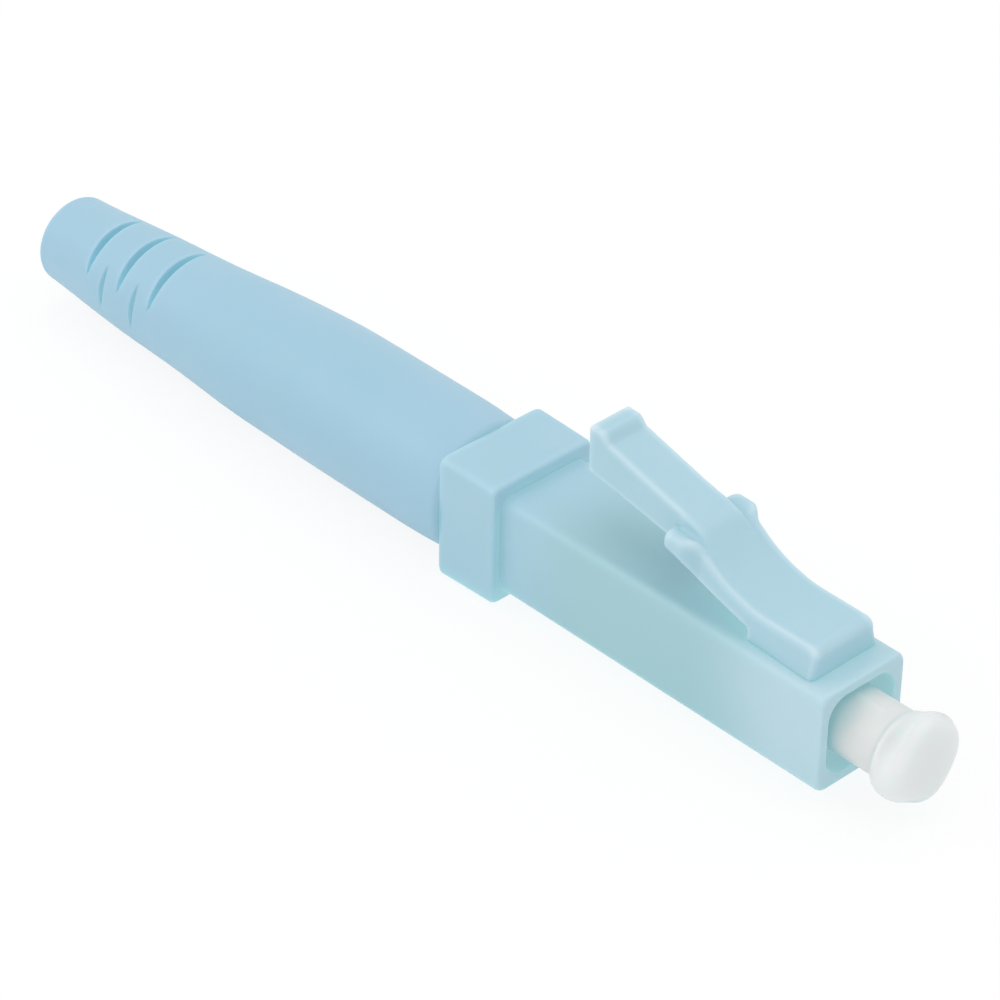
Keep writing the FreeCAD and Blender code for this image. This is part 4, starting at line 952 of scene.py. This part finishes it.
class CONNECTOR_OT_inner(bpy.types.Operator):
    """Build the ferrule and the spring, and finish the other parts inside"""

    bl_idname = "connector.inner"
    bl_label = "Finish inner parts"

    def execute(self, context):
        # Zirconia, ground: a hard, glassy white. PTFE, extruded: a soft, waxy one.
        ceramic = polished("ground_zirconia", "#F1EEE6", roughness=0.16, ior=2.1, scatter=0.3, grain=0.4 * MM)
        fluoropolymer = polished("extruded_ptfe_tube", "#EDEFEF", roughness=0.4, ior=1.35, scatter=0.6, grain=0.6 * MM)
        cast(skin_mesh("ferrule_rod", ferrule_points()), ceramic, "ferrule_assembly", "ferrule")
        dress_node("guide_tube", fluoropolymer)
        low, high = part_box("spring")
        coil = skin_mesh("coil_spring", spring_points(low, high))
        # Spring steel, drawn: a cool grey gleam.
        steel = worked_metal("drawn_spring_steel", "#B9BBBD", roughness=0.25, lines=0.04 * MM)
        cast(coil, steel, "plug", "spring")
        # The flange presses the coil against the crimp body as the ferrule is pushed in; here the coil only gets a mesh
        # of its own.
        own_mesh(coil)
        # Stainless steel, turned: bright rings. Nickel plate on brass: warmer. Annealed sleeve: dull and pale.
        for node, name, surface, roughness, lines in (
            ("ferrule_flange", "turned_stainless_flange", "#C9CBCC", 0.28, 0.05 * MM),
            ("crimp_body", "nickel_plated_brass", "#D3CDBE", 0.22, 0.05 * MM),
            ("crimp_sleeve", "annealed_copper_alloy_sleeve", "#CFCBC4", 0.34, 0.06 * MM),
        ):
            dress_node(node, worked_metal(name, surface, roughness, lines))
        return {"FINISHED"}


class CONNECTOR_OT_stage(bpy.types.Operator):
    """Set the camera, the floor and a plain soft light"""

    bl_idname = "connector.stage"
    bl_label = "Set stage"

    def execute(self, context):
        scene = context.scene
        stage = scene.connector_stage
        scene.view_settings.view_transform = "Standard"
        camera = bpy.data.objects.new("camera", bpy.data.cameras.new("camera"))
        camera.data.lens, camera.data.sensor_width = stage.lens, 36.0
        camera.data.clip_start, camera.data.clip_end = 1 * MM, 10.0
        camera.matrix_world = (
            Matrix.Translation(Vector((NOSE_X, 0, AXIS_Z)) + Vector(stage.place))
            @ Matrix.Rotation(stage.azimuth, 4, "Z") @ Matrix.Rotation(math.pi / 2 - stage.elevation, 4, "X")
            @ Matrix.Rotation(stage.roll, 4, "Z")
        )
        scene.collection.objects.link(camera)
        scene.camera = camera

        self.lamp(scene, "key_lamp", KEY_LAMP, stage.key_strength)
        self.lamp(scene, "top_lamp", TOP_LAMP, stage.top_strength)
        self.world(scene, stage.world_strength)
        self.floor(scene, scene.connector_colours.floor)
        return {"FINISHED"}

    def lamp(self, scene, name, hung, radiance):
        """Square area lamp that faces the object, with its power worked out from radiance x area x pi."""
        place, across = Vector(hung[0]), hung[1]
        light = bpy.data.lights.new(name, "AREA")
        light.shape, light.size = "SQUARE", across
        light.energy = radiance * across ** 2 * math.pi
        made = bpy.data.objects.new(name, light)
        made.matrix_world = Matrix.Translation(place) @ place.to_track_quat("Z", "Y").to_matrix().to_4x4()
        scene.collection.objects.link(made)

    def world(self, scene, strength):
        """Plain white world: strength 1 to the camera, reflections and glass, and an even light elsewhere."""
        world = bpy.data.worlds.new("white_room")
        scene.world = world
        world.use_nodes = True
        world.node_tree.nodes.clear()
        add = partial(add_node, world)
        even, white = (add("Background", {"Strength": level, "Color": WHITE}) for level in (strength, 1.0))
        both = add("MixShader", {}, {0: to_the_eye(add), 1: even, 2: white})
        add("OutputWorld", {"is_active_output": True}, {"Surface": both})

    def floor(self, scene, shade):
        """Large flat floor under the object: white to the camera, reflections and glass, with the object's shadow
        kept."""
        half, low = FLOOR_HALF, cad_box[0][2]
        mesh = bpy.data.meshes.new("floor")
        mesh.from_pydata(
            [(-half, -half, low), (half, -half, low), (half, half, low), (-half, half, low)], [], [(0, 1, 2, 3)]
        )
        floor = bpy.data.objects.new("floor", mesh)
        scene.collection.objects.link(floor)
        material, add = new_material("plain_floor")
        share = add("Math", {"operation": "MULTIPLY", 1: FLOOR_WHITE}, {0: to_the_eye(add)})
        matt = add("BsdfDiffuse", {"Color": linear(shade)})
        white = add("Emission", {"Color": WHITE, "Strength": 1.0})
        both = add("MixShader", {}, {0: share, 1: matt, 2: white})
        add("OutputMaterial", {}, {"Surface": both})
        floor.data.materials.append(material)


class CONNECTOR_PT_panel(bpy.types.Panel):
    """Lists the connector's operators and sizes"""

    bl_label = "Connector"
    bl_idname = "CONNECTOR_PT_panel"
    bl_space_type = "VIEW_3D"
    bl_region_type = "UI"
    bl_category = "Connector"

    def draw(self, context):
        for operator in OPERATORS:
            self.layout.operator(operator.bl_idname)
        for name, group in GROUPS.items():
            box = self.layout.box()
            box.label(text=group.__doc__)
            for key in group.__annotations__:
                box.prop(getattr(context.scene, name), key)


OPERATORS = [
    CONNECTOR_OT_housing, CONNECTOR_OT_latch, CONNECTOR_OT_boot, CONNECTOR_OT_cap, CONNECTOR_OT_inner,
    CONNECTOR_OT_stage,
]
GROUPS = {
    "connector_housing": HousingSizes,
    "connector_latch": LatchSizes,
    "connector_boot": BootSizes,
    "connector_cap": CapSizes,
    "connector_colours": FinishColours,
    "connector_stage": StageSettings,
}


def register():
    """Registers the property groups, operators and panel."""
    for made in [*GROUPS.values(), *OPERATORS, CONNECTOR_PT_panel]:
        bpy.utils.register_class(made)
    for name, group in GROUPS.items():
        setattr(bpy.types.Scene, name, PointerProperty(type=group))


def unregister():
    """Takes the property groups, operators and panel away again."""
    for name in GROUPS:
        delattr(bpy.types.Scene, name)
    for made in [CONNECTOR_PT_panel, *OPERATORS, *GROUPS.values()]:
        bpy.utils.unregister_class(made)


def main():
    """Builds the pieces and the stage in order."""
    register()
    bpy.ops.connector.housing()
    bpy.ops.connector.latch()
    bpy.ops.connector.boot()
    bpy.ops.connector.cap()
    bpy.ops.connector.inner()
    bpy.ops.connector.stage()


if __name__ == "__main__":
    main()
